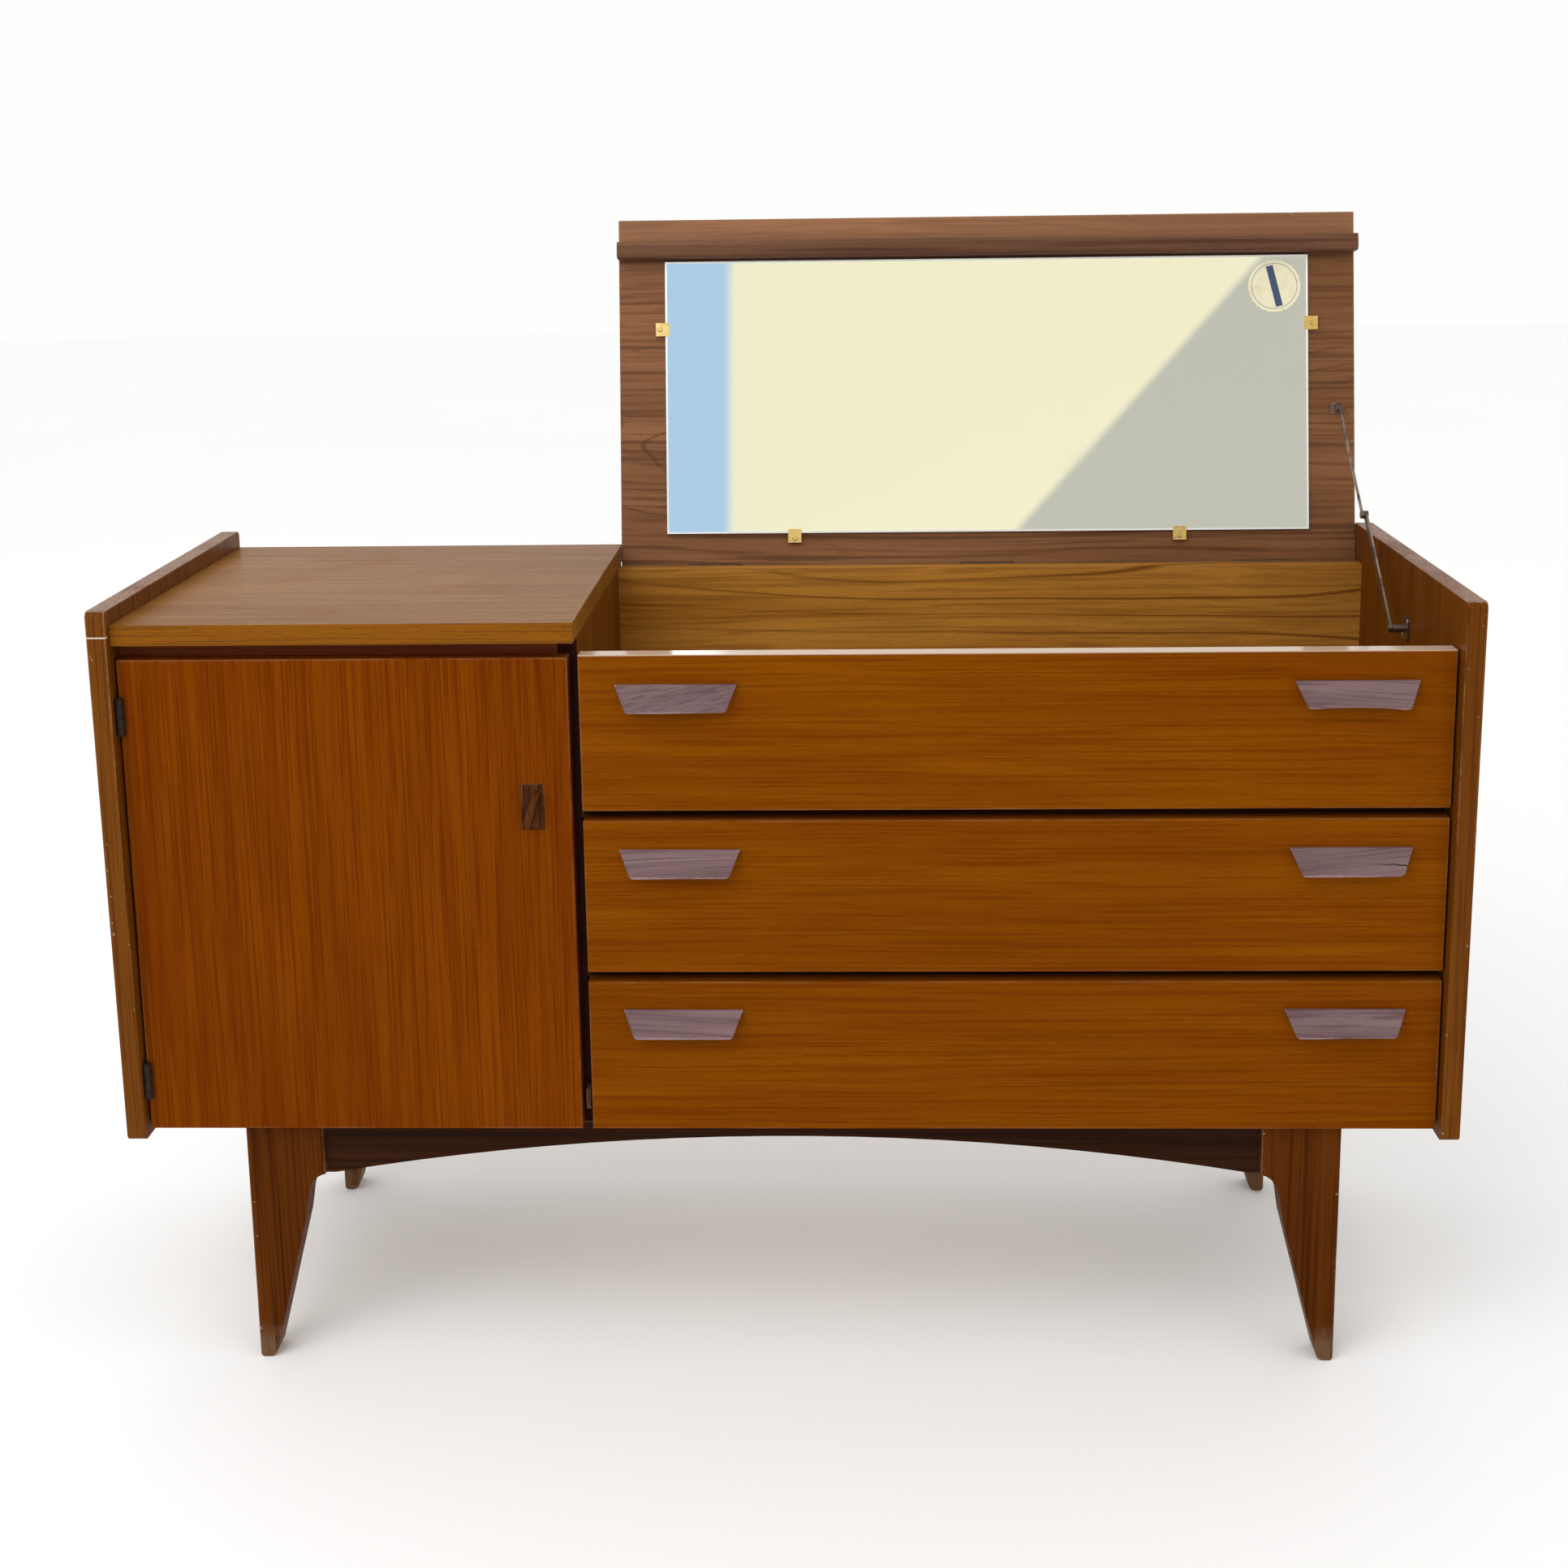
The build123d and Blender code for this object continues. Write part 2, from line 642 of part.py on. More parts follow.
keeper_z = (latch_z - keeper_h / 2, latch_z + keeper_h / 2)
with BuildPart() as latch_keeper:
    with BuildSketch(Plane.XY.offset(keeper_z[0])):
        with BuildLine():
            Polyline(
                (divider_left, case_y + slide_clear),
                (divider_left - keeper_reach, case_y + slide_clear),
                (divider_left - keeper_reach, case_y + slide_clear + keeper_t),
                (divider_left - keeper_t, case_y + slide_clear + keeper_t),
                (divider_left - keeper_t, case_y + keeper_h),
                (divider_left, case_y + keeper_h),
                close=True,
            )
        make_face()
    extrude(amount=keeper_h)
save(latch_keeper, "latch_keeper")

door_pin_x = -inner + door_barrel_r + barrel_side_gap
door_pin_y = face_y - door_barrel_r - barrel_face_gap
door_hinge_zs = (door_z[1] - door_hinge_top, door_z[0] + door_hinge_low)
knuckle_h = (door_hinge_h - 2 * pin_clear) / 3


def door_leaves(fixed):
    """One half of each door hinge: outer knuckles and the case leaf, or the middle knuckle and the door's."""
    hole_r = door_pin_r if fixed else door_pin_r + pin_clear
    leaf_x = -inner if fixed else door_x[0] - leaf_t
    leaf_y = (face_y + door_leaf_start, face_y + door_leaf_start + door_leaf_w)
    with BuildPart() as piece:
        for mid in door_hinge_zs:
            low = mid - door_hinge_h / 2
            with BuildSketch(Plane.XY.offset(low)):
                with Locations((leaf_x + leaf_t / 2, (leaf_y[0] + leaf_y[1]) / 2)):
                    Rectangle(leaf_t, leaf_y[1] - leaf_y[0])
            extrude(amount=door_hinge_h)
            starts = (low, low + door_hinge_h - knuckle_h) if fixed else (low + knuckle_h + pin_clear,)
            for start in starts:
                with BuildSketch(Plane.XY.offset(start)):
                    with Locations((door_pin_x, door_pin_y)):
                        Circle(door_barrel_r)
                    with Locations((leaf_x + leaf_t / 2, (door_pin_y + leaf_y[0]) / 2)):
                        Rectangle(leaf_t, leaf_y[0] - door_pin_y)
                    with Locations((door_pin_x, door_pin_y)):
                        Circle(hole_r, mode=Mode.SUBTRACT)
                extrude(amount=knuckle_h)
    return piece


save(door_leaves(fixed=True), "door_hinge_case_leaves")
save(door_leaves(fixed=False), "door_hinge_door_leaves")
with BuildPart() as door_hinge_pins:
    for mid in door_hinge_zs:
        with BuildSketch(Plane.XY.offset(mid - door_hinge_h / 2)):
            with Locations((door_pin_x, door_pin_y)):
                Circle(door_pin_r)
        extrude(amount=door_hinge_h)
        with BuildSketch(Plane.XY.offset(mid + door_hinge_h / 2)):
            with Locations((door_pin_x, door_pin_y)):
                Circle(door_pin_r * 2)
        extrude(amount=pin_cap_h)
save(door_hinge_pins, "door_hinge_pins")


# ---- Lid, mirror and lid hinges ----
lid_face = -lid_pivot_up
lid_w = (lid_face - board_t, lid_face)
lid_x = (lid_left, lid_right)
save(board(lid_x, (-lid_pivot_in, lid_reach), lid_w, plane=lid_plane, ease=edge_r), "lid_panel")

batten_end = lid_reach - (face_back_y - front_y - board_back_step) - batten_gap
with BuildPart() as lid_batten:
    with BuildSketch(lid_plane.offset(lid_face)):
        with Locations((lid_middle, batten_end - batten_w / 2)):
            Rectangle(lid_right - lid_left, batten_w)
    extrude(amount=batten_d)
    nose = lid_batten.faces().sort_by(Axis(lid_plane.origin, lid_plane.z_dir))[-1]
    fillet(nose.edges().filter_by(Axis.X), batten_nose_r)
save(lid_batten, "lid_batten")

mirror_x = (lid_middle - mirror_w / 2, lid_middle + mirror_w / 2)
mirror_u = (mirror_low, mirror_low + mirror_h)
glass_top = lid_face + mirror_t
save(board(mirror_x, mirror_u, (lid_face, glass_top), plane=lid_plane, ease=edge_r / 2), "mirror_glass")

clip_x_low = [lid_middle - low_clip_out, lid_middle + low_clip_out]
# Each clip: middle of its foot, and the direction over the glass
clip_feet = [(x, mirror_u[0] - clip_foot / 2 - slide_clear, 0, 1) for x in clip_x_low]
for hand in (-1, 1):
    x = lid_middle + hand * (mirror_w / 2 + clip_foot / 2 + slide_clear)
    clip_feet.append((x, mirror_u[0] + side_clip_up, -hand, 0))
with BuildPart() as mirror_clips:
    for x, u, over_x, over_u in clip_feet:
        foot = (clip_foot, clip_w) if over_x else (clip_w, clip_foot)
        shift = (clip_lap + slide_clear) / 2
        cap = (foot[0] + abs(over_x) * shift * 2, foot[1] + abs(over_u) * shift * 2)
        with BuildSketch(lid_plane.offset(lid_face)):
            with Locations((x, u)):
                Rectangle(*foot)
        extrude(amount=mirror_t)
        with BuildSketch(lid_plane.offset(glass_top)):
            with Locations((x + over_x * shift, u + over_u * shift)):
                Rectangle(*cap)
        extrude(amount=clip_t)
save(mirror_clips, "mirror_clips")
head_top = glass_top + clip_t + clip_head_h
clip_tops = [lid_plane.from_local_coords((x, u, head_top)) for x, u, _, _ in clip_feet]
into_lid = (-lid_plane.z_dir.X, -lid_plane.z_dir.Y, -lid_plane.z_dir.Z)
clip_screws = screws(clip_tops, into_lid, clip_screw_l, clip_screw_r, clip_head_r, clip_head_h)
save(clip_screws, "clip_screws")

lid_hinge_xs = [lid_middle + i * lid_hinge_reach for i in (-1, 0, 1)]
lid_knuckle = (lid_hinge_w - 2 * pin_clear) / 3
rail_back = rail_y + rail_t


def lid_knuckles(mid, outer):
    """Start of each knuckle of one half of a lid hinge."""
    low = mid - lid_hinge_w / 2
    return (low, low + lid_hinge_w - lid_knuckle) if outer else (low + lid_knuckle + pin_clear,)


with BuildPart() as lid_hinge_case_leaves:
    for mid in lid_hinge_xs:
        leaf_z = (pivot_z - lid_leaf_down, pivot_z - lid_barrel_r - leaf_gap)
        with BuildSketch(Plane.YZ.offset(mid - lid_hinge_w / 2)):
            with Locations((rail_back + leaf_t / 2, (leaf_z[0] + leaf_z[1]) / 2)):
                Rectangle(leaf_t, leaf_z[1] - leaf_z[0])
        extrude(amount=lid_hinge_w)
        for start in lid_knuckles(mid, outer=True):
            with BuildSketch(Plane.YZ.offset(start)):
                with Locations((pivot_y, pivot_z)):
                    Circle(lid_barrel_r)
                with Locations((rail_back + leaf_t / 2, (leaf_z[1] + pivot_z) / 2)):
                    Rectangle(leaf_t, pivot_z - leaf_z[1])
                with Locations((pivot_y, pivot_z)):
                    Circle(lid_pin_r, mode=Mode.SUBTRACT)
            extrude(amount=lid_knuckle)
save(lid_hinge_case_leaves, "lid_hinge_case_leaves")

with BuildPart() as lid_hinge_lid_leaves:
    for mid in lid_hinge_xs:
        leaf_u = (-lid_pivot_in + leaf_back_gap, -lid_barrel_r - leaf_gap)
        with BuildSketch(lid_plane.offset(lid_face)):
            with Locations((mid, (leaf_u[0] + leaf_u[1]) / 2)):
                Rectangle(lid_hinge_w, leaf_u[1] - leaf_u[0])
        extrude(amount=leaf_t)
        for start in lid_knuckles(mid, outer=False):
            with BuildSketch(lid_plane.offset(lid_face)):
                with Locations((start + lid_knuckle / 2, leaf_u[1] / 2)):
                    Rectangle(lid_knuckle, -leaf_u[1])
            extrude(amount=leaf_t)
            with BuildSketch(Plane.YZ.offset(start)):
                with Locations((pivot_y, pivot_z)):
                    Circle(lid_barrel_r)
            extrude(amount=lid_knuckle)
            with BuildSketch(Plane.YZ.offset(start)):
                with Locations((pivot_y, pivot_z)):
                    Circle(lid_pin_r + pin_clear)
            extrude(amount=lid_knuckle, mode=Mode.SUBTRACT)
save(lid_hinge_lid_leaves, "lid_hinge_lid_leaves")

with BuildPart() as lid_hinge_pins:
    for mid in lid_hinge_xs:
        with BuildSketch(Plane.YZ.offset(mid - lid_hinge_w / 2)):
            with Locations((pivot_y, pivot_z)):
                Circle(lid_pin_r)
        extrude(amount=lid_hinge_w)
save(lid_hinge_pins, "lid_hinge_pins")


# ---- Folding stay ----
anchor = Vector(0, front_y + stay_anchor_y, board_low - stay_anchor_down)
lid_pin = lid_plane.from_local_coords((0, stay_pin_up, lid_face + stay_pin_out))
lid_pin = Vector(0, lid_pin.Y, lid_pin.Z)
elbow = anchor + (lid_pin - anchor) * stay_arm_share
arm_l = (elbow - anchor).length
rod_l = (lid_pin - elbow).length
closed_pin = Vector(0, pivot_y - stay_pin_up, board_low - stay_pin_out)
chord = closed_pin - anchor
along = (arm_l**2 - rod_l**2 + chord.length**2) / (2 * chord.length)
across = sqrt(arm_l**2 - along**2)
away = Vector(0, chord.Z, -chord.Y)  # square to the chord, down into the well
closed_elbow = anchor + chord * (along / chord.length) + away * (across / chord.length)


def slope(start, end):
    """Angle of a link in the YZ plane, in degrees above +Y."""
    return degrees(atan2(end.Z - start.Z, end.Y - start.Y))


arm_turn = slope(anchor, closed_elbow) - slope(anchor, elbow)
rod_turn = slope(closed_pin, closed_elbow) - slope(lid_pin, elbow) - lid_open_deg
rod_x = inner - stay_rod_x
arm_x = rod_x + eye_t / 2 + knuckle_gap
anchor_at = (anchor.Y, anchor.Z)
lid_pin_at = (lid_pin.Y, lid_pin.Z)
elbow_at = (elbow.Y, elbow.Z)
plate_x = inner - stay_plate_t

with BuildPart() as stay_arm:
    with BuildSketch(Plane.YZ.offset(arm_x)):
        with Locations(((elbow.Y + anchor.Y) / 2, (elbow.Z + anchor.Z) / 2)):
            SlotCenterToCenter(arm_l, arm_w, rotation=slope(anchor, elbow))
        with Locations(anchor_at):
            Circle(stay_pin_r + pin_clear, mode=Mode.SUBTRACT)
    extrude(amount=arm_t)
    with BuildSketch(Plane.YZ.offset(arm_x + arm_t)):
        with Locations(elbow_at):
            Circle(eye_r)
    extrude(amount=elbow_boss_t)
save(stay_arm, "stay_arm")

with BuildPart() as stay_rod:
    with BuildSketch(Plane.YZ.offset(rod_x - eye_t / 2)):
        with Locations(lid_pin_at, elbow_at):
            Circle(eye_r)
    extrude(amount=eye_t)
    rod_start = Plane(origin=(rod_x, *elbow_at), z_dir=(0, lid_pin.Y - elbow.Y, lid_pin.Z - elbow.Z))
    with BuildSketch(rod_start):
        Circle(rod_r)
    extrude(amount=rod_l)
    with BuildSketch(Plane.YZ.offset(rod_x - eye_t / 2)):
        with Locations(lid_pin_at):
            Circle(stay_pin_r + pin_clear)
    extrude(amount=eye_t, mode=Mode.SUBTRACT)
save(stay_rod, "stay_rod")

with BuildPart() as stay_case_bracket:
    with BuildSketch(Plane.YZ.offset(plate_x)):
        with Locations(anchor_at):
            RectangleRounded(stay_plate_w, stay_plate_w, stay_plate_r)
    extrude(amount=stay_plate_t)
    boss_x = arm_x + arm_t + knuckle_gap
    with BuildSketch(Plane.YZ.offset(boss_x)):
        with Locations(anchor_at):
            Circle(eye_r)
    extrude(amount=plate_x - boss_x)
    with BuildSketch(Plane.YZ.offset(arm_x - knuckle_gap / 2)):
        with Locations(anchor_at):
            Circle(stay_pin_r)
    extrude(amount=boss_x - arm_x + knuckle_gap / 2)
    with BuildSketch(Plane.YZ.offset(arm_x - knuckle_gap / 2)):
        with Locations(anchor_at):
            Circle(pin_head_r)
    extrude(amount=-stay_plate_t)
save(stay_case_bracket, "stay_case_bracket")

ear_x = rod_x - eye_t / 2 - knuckle_gap - arm_t
pin_end = rod_x + eye_t / 2 + knuckle_gap / 2
with BuildPart() as stay_lid_bracket:
    with BuildSketch(lid_plane.offset(lid_face)):
        with Locations((ear_x + arm_t - stay_foot_w / 2, stay_pin_up)):
            Rectangle(stay_foot_w, stay_foot_h)
    extrude(amount=stay_plate_t)
    with BuildSketch(lid_plane.offset(lid_face)):
        with Locations((ear_x + arm_t / 2, stay_pin_up)):
            Rectangle(arm_t, eye_r * 2)
    extrude(amount=stay_pin_out)
    with BuildSketch(Plane.YZ.offset(ear_x)):
        with Locations(lid_pin_at):
            Circle(eye_r)
    extrude(amount=arm_t)
    with BuildSketch(Plane.YZ.offset(ear_x + arm_t)):
        with Locations(lid_pin_at):
            Circle(stay_pin_r)
    extrude(amount=pin_end - ear_x - arm_t)
    with BuildSketch(Plane.YZ.offset(pin_end)):
        with Locations(lid_pin_at):
            Circle(pin_head_r)
    extrude(amount=stay_plate_t)
save(stay_lid_bracket, "stay_lid_bracket")

print(f"lid pin line y {pivot_y:.3f} z {pivot_z:.3f}, closes {lid_open_deg:.2f} deg")
print(f"stay arm y {anchor.Y:.3f} z {anchor.Z:.3f}, turns {arm_turn:.3f} deg, clear of the rod at the elbow")
print(f"stay rod y {lid_pin.Y:.3f} z {lid_pin.Z:.3f}, turns {rod_turn:.3f} deg on the lid")
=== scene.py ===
import json
from math import cos, pi, radians, sin

import bmesh
import bpy
from mathutils import Matrix, Vector

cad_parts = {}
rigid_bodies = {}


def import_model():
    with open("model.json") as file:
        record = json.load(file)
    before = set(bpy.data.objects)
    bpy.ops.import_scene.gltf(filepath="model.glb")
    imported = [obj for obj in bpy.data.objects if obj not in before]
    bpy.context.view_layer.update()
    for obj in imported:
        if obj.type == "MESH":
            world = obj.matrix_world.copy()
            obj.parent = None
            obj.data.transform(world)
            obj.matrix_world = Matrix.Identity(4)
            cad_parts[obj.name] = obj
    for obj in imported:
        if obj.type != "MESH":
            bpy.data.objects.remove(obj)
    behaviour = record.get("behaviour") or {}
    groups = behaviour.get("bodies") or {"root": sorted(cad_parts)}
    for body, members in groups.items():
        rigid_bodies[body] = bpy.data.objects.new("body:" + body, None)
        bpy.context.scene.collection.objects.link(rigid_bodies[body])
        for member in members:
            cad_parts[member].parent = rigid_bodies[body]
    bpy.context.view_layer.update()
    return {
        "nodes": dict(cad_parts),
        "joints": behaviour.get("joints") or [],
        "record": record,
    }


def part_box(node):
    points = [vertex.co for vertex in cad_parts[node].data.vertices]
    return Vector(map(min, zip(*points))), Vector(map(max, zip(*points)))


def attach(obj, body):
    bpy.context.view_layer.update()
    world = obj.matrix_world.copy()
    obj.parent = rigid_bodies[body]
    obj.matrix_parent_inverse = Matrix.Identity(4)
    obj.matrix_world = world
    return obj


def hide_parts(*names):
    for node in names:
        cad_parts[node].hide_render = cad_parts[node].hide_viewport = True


for leftover in list(bpy.data.objects):
    bpy.data.objects.remove(leftover)
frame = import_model()
nodes = frame["nodes"]
lidHinge = next(joint for joint in frame["joints"] if joint["name"] == "lid_hinge")
lidLean = radians(lidHinge["range_deg"][1] - 90)  # how far the open lid leans back
upright = Matrix.Rotation(lidLean, 3, "X")  # turns the leaning lid upright
lidOut = Vector((0, -cos(lidLean), sin(lidLean)))  # towards the sitter
print("frame loaded:", len(nodes), "nodes")


# node helpers
def put(tree, kind, inputs=None, **settings):
    made = tree.nodes.new(kind)
    for key, value in settings.items():
        setattr(made, key, value)
    for key, value in (inputs or {}).items():
        if isinstance(value, bpy.types.NodeSocket):
            tree.links.new(value, made.inputs[key])
        else:
            made.inputs[key].default_value = value
    return made


def calc(tree, operation, a, b=0.0, c=0.0, clamp=False):
    return put(tree, "ShaderNodeMath", {0: a, 1: b, 2: c}, operation=operation, use_clamp=clamp).outputs[0]


def vectorCalc(tree, operation, a, b):
    return put(tree, "ShaderNodeVectorMath", {0: a, 1: b}, operation=operation).outputs[0]


def spread(tree, value, low, high, outLow=0.0, outHigh=1.0):
    span = {"Value": value, "From Min": low, "From Max": high, "To Min": outLow, "To Max": outHigh}
    return put(tree, "ShaderNodeMapRange", span, interpolation_type="SMOOTHSTEP").outputs["Result"]


def blendColour(tree, share, a, b):
    return put(tree, "ShaderNodeMix", {0: share, 6: a, 7: b}, data_type="RGBA").outputs[2]


def cloud(tree, vector, scale, detail=2.0, roughness=0.5):
    values = {"Vector": vector, "Scale": scale, "Detail": detail, "Roughness": roughness}
    return put(tree, "ShaderNodeTexNoise", values).outputs[0]


def startGroup(name, inputs, outputs):
    tree = bpy.data.node_groups.new(name, "ShaderNodeTree")
    kinds = {"float": "NodeSocketFloat", "vector": "NodeSocketVector", "colour": "NodeSocketColor"}
    for label, kind, value in inputs:
        tree.interface.new_socket(label, in_out="INPUT", socket_type=kinds[kind]).default_value = value
    for label, kind in outputs:
        tree.interface.new_socket(label, in_out="OUTPUT", socket_type=kinds[kind])
    return tree, put(tree, "NodeGroupInput").outputs, put(tree, "NodeGroupOutput").inputs


def useGroup(tree, group, **values):
    made = put(tree, "ShaderNodeGroup", node_tree=group)
    for label, value in values.items():
        if isinstance(value, bpy.types.NodeSocket):
            tree.links.new(value, made.inputs[label])
        else:
            made.inputs[label].default_value = value
    return made.outputs


def fullColour(rgb):
    return (*rgb, 1.0)


# veneer and solid wood, with the grain along X of the vector it is given
# how each pattern is stretched along the grain, and the range of noise that it shows at
grainShape = {
    "swayStretch": (1.6, 3.0, 3.0),
    "lineStretch": (0.012, 1, 1), "lineRange": (0.47, 0.66),
    "fleckStretch": (0.016, 1, 1), "fleckRange": (0.55, 0.67), "fleckFiner": 1.35, "fleckShare": 0.55,
    "bandStretch": (0.05, 1, 1), "bandRange": (0.3, 0.7),
    "patchStretch": (0.5, 1, 1), "patchScale": 3.0, "patchRange": (0.35, 0.75), "patchShare": 0.35,
    "poreStretch": (0.05, 1, 1), "poreScale": 1500.0, "poreRange": (0.6, 0.7), "poreShare": 0.3,
    "figureStretch": (0.16, 1, 1), "rings": 15.0, "ringWidth": 0.10, "ringPatches": 9.0,
    "ringRange": (0.36, 0.66),
}


def makeGrainGroup():
    tree, given, result = startGroup(
        "teakGrain",
        [("Vector", "vector", (0, 0, 0)), ("Pale", "colour", (1, 1, 1, 1)),
         ("Middle", "colour", (1, 1, 1, 1)), ("Dark", "colour", (0, 0, 0, 1)), ("Lines", "float", 160.0),
         ("Bands", "float", 18.0), ("Sway", "float", 0.004), ("Streaks", "float", 0.5),
         ("Figure", "float", 0.0), ("FigureSize", "float", 5.0)],
        [("Color", "colour"), ("Gloss", "float"), ("Height", "float")])
    shape = grainShape
    swayAt = vectorCalc(tree, "MULTIPLY", given["Vector"], shape["swayStretch"])
    swayNoise = calc(tree, "SUBTRACT", cloud(tree, swayAt, 1.0, 2.0), 0.5)
    swayBy = calc(tree, "MULTIPLY", swayNoise, given["Sway"])
    across = put(tree, "ShaderNodeCombineXYZ", {"Y": swayBy, "Z": swayBy}).outputs[0]
    swayed = vectorCalc(tree, "ADD", given["Vector"], across)

    def stretched(pattern):
        return vectorCalc(tree, "MULTIPLY", swayed, shape[pattern + "Stretch"])

    lineNoise = cloud(tree, stretched("line"), given["Lines"], 1.5)
    fleckScale = calc(tree, "MULTIPLY", given["Lines"], shape["fleckFiner"])
    fleckNoise = cloud(tree, stretched("fleck"), fleckScale, 1.0)
    bandNoise = cloud(tree, stretched("band"), given["Bands"])
    patchNoise = cloud(tree, stretched("patch"), shape["patchScale"])
    poreNoise = cloud(tree, stretched("pore"), shape["poreScale"], 1.0)
    figureAt = stretched("figure")
    figureNoise = cloud(tree, figureAt, given["FigureSize"], 1.5, 0.4)
    rings = calc(tree, "PINGPONG", calc(tree, "MULTIPLY", figureNoise, shape["rings"]), 0.5)
    ringLine = spread(tree, rings, 0.0, shape["ringWidth"], 1.0, 0.0)
    ringPatch = spread(tree, cloud(tree, figureAt, shape["ringPatches"]), *shape["ringRange"])
    figure = calc(tree, "MULTIPLY", calc(tree, "MULTIPLY", ringLine, ringPatch), given["Figure"], clamp=True)
    lines = spread(tree, lineNoise, *shape["lineRange"])
    flecks = spread(tree, fleckNoise, *shape["fleckRange"])
    pores = spread(tree, poreNoise, *shape["poreRange"])
    patches = spread(tree, patchNoise, *shape["patchRange"], 0.0, shape["patchShare"])
    lineShare = calc(tree, "MULTIPLY", lines, given["Streaks"], clamp=True)
    fleckStrength = calc(tree, "MULTIPLY", flecks, given["Streaks"])
    fleckShare = calc(tree, "MULTIPLY", fleckStrength, shape["fleckShare"], clamp=True)
    poreShare = calc(tree, "MULTIPLY", pores, shape["poreShare"])
    base = blendColour(tree, spread(tree, bandNoise, *shape["bandRange"]), given["Middle"], given["Pale"])
    for share in (patches, lineShare, fleckShare, poreShare, figure):
        base = blendColour(tree, share, base, given["Dark"])
    tree.links.new(base, result["Color"])
    dull = calc(tree, "ADD", calc(tree, "MULTIPLY", lines, 0.5), calc(tree, "MULTIPLY", pores, 0.5))
    tree.links.new(dull, result["Gloss"])
    tree.links.new(calc(tree, "SUBTRACT", 1.0, dull), result["Height"])
    return tree


# how worn a board is near its edges, from its own box
wearShape = {"patches": 14.0, "patchRange": (0.35, 0.65), "ragged": 220.0, "raggedReach": 2.0, "chips": 130.0,
             "chipRange": (0.69, 0.72), "chipEdge": (0.001, 0.007), "scuffs": 6.0, "scuffRange": (0.5, 0.8)}


def makeWearGroup():
    tree, given, result = startGroup(
        "edgeWear",
        [("Vector", "vector", (0, 0, 0)), ("Low", "vector", (0, 0, 0)), ("High", "vector", (1, 1, 1)),
         ("Width", "float", 0.004), ("Amount", "float", 0.5), ("ChipAmount", "float", 0.0)],
        [("Rub", "float"), ("Chips", "float"), ("Scuff", "float")])
    fromLow = vectorCalc(tree, "SUBTRACT", given["Vector"], given["Low"])
    fromHigh = vectorCalc(tree, "SUBTRACT", given["High"], given["Vector"])
    nearest = vectorCalc(tree, "MINIMUM", fromLow, fromHigh)
    parts = put(tree, "ShaderNodeSeparateXYZ", {0: nearest}).outputs
    smaller = calc(tree, "MINIMUM", parts[0], parts[1])
    larger = calc(tree, "MAXIMUM", parts[0], parts[1])
    edge = calc(tree, "MAXIMUM", smaller, calc(tree, "MINIMUM", larger, parts[2]))  # middle one of three
    patches = cloud(tree, given["Vector"], wearShape["patches"], 4.0, 0.6)
    ragged = cloud(tree, given["Vector"], wearShape["ragged"], 3.0, 0.6)
    reach = calc(tree, "MULTIPLY", given["Width"], calc(tree, "MULTIPLY", ragged, wearShape["raggedReach"]))
    rub = calc(tree, "SUBTRACT", 1.0, calc(tree, "DIVIDE", edge, reach), clamp=True)
    rub = calc(tree, "MULTIPLY", rub, spread(tree, patches, *wearShape["patchRange"]))
    tree.links.new(calc(tree, "MULTIPLY", rub, given["Amount"], clamp=True), result["Rub"])
    chipNoise = spread(tree, cloud(tree, given["Vector"], wearShape["chips"]), *wearShape["chipRange"])
    nearEdge = spread(tree, edge, *wearShape["chipEdge"], 1.0, 0.0)
    chips = calc(tree, "MULTIPLY", chipNoise, nearEdge)
    tree.links.new(calc(tree, "MULTIPLY", chips, given["ChipAmount"], clamp=True), result["Chips"])
    scuffs = cloud(tree, given["Vector"], wearShape["scuffs"], 5.0, 0.65)
    tree.links.new(spread(tree, scuffs, *wearShape["scuffRange"]), result["Scuff"])
    return tree


# stains and rubbed patches on metal
metalShape = {"blotRange": (0.42, 0.68), "fine": 1600.0, "blotDull": 0.7, "fineDull": 0.3, "blotHigh": 0.6,
              "fineHigh": 0.4, "dullRough": 0.25, "relief": 0.00005}


def makeMetalGroup():
    tree, given, result = startGroup(
        "metalWear",
        [("Vector", "vector", (0, 0, 0)), ("Bright", "colour", (1, 1, 1, 1)),
         ("Stain", "colour", (0, 0, 0, 1)), ("Size", "float", 120.0), ("Amount", "float", 0.5)],
        [("Color", "colour"), ("Dull", "float"), ("Height", "float")])
    blots = spread(tree, cloud(tree, given["Vector"], given["Size"], 4.0, 0.6), *metalShape["blotRange"])
    fine = cloud(tree, given["Vector"], metalShape["fine"])
    share = calc(tree, "MULTIPLY", blots, given["Amount"], clamp=True)
    tree.links.new(blendColour(tree, share, given["Bright"], given["Stain"]), result["Color"])
    fineDull = calc(tree, "MULTIPLY", fine, metalShape["fineDull"])
    fineHigh = calc(tree, "MULTIPLY", fine, metalShape["fineHigh"])
    tree.links.new(calc(tree, "MULTIPLY_ADD", share, metalShape["blotDull"], fineDull), result["Dull"])
    tree.links.new(calc(tree, "MULTIPLY_ADD", blots, metalShape["blotHigh"], fineHigh), result["Height"])
    return tree


grainGroup = makeGrainGroup()
wearGroup = makeWearGroup()
metalGroup = makeMetalGroup()


def startMaterial(name):
    material = bpy.data.materials.new(name)
    material.use_nodes = True
    tree = material.node_tree
    shader = tree.nodes["Principled BSDF"]
    where = put(tree, "ShaderNodeTexCoord").outputs["Object"]
    return material, tree, shader, where


def finishSurface(tree, shader, colour, roughness, height, depth):
    bump = put(tree, "ShaderNodeBump", {"Height": height, "Distance": depth, "Strength": 1.0})
    tree.links.new(colour, shader.inputs["Base Color"])
    tree.links.new(roughness, shader.inputs["Roughness"])
    tree.links.new(bump.outputs[0], shader.inputs["Normal"])


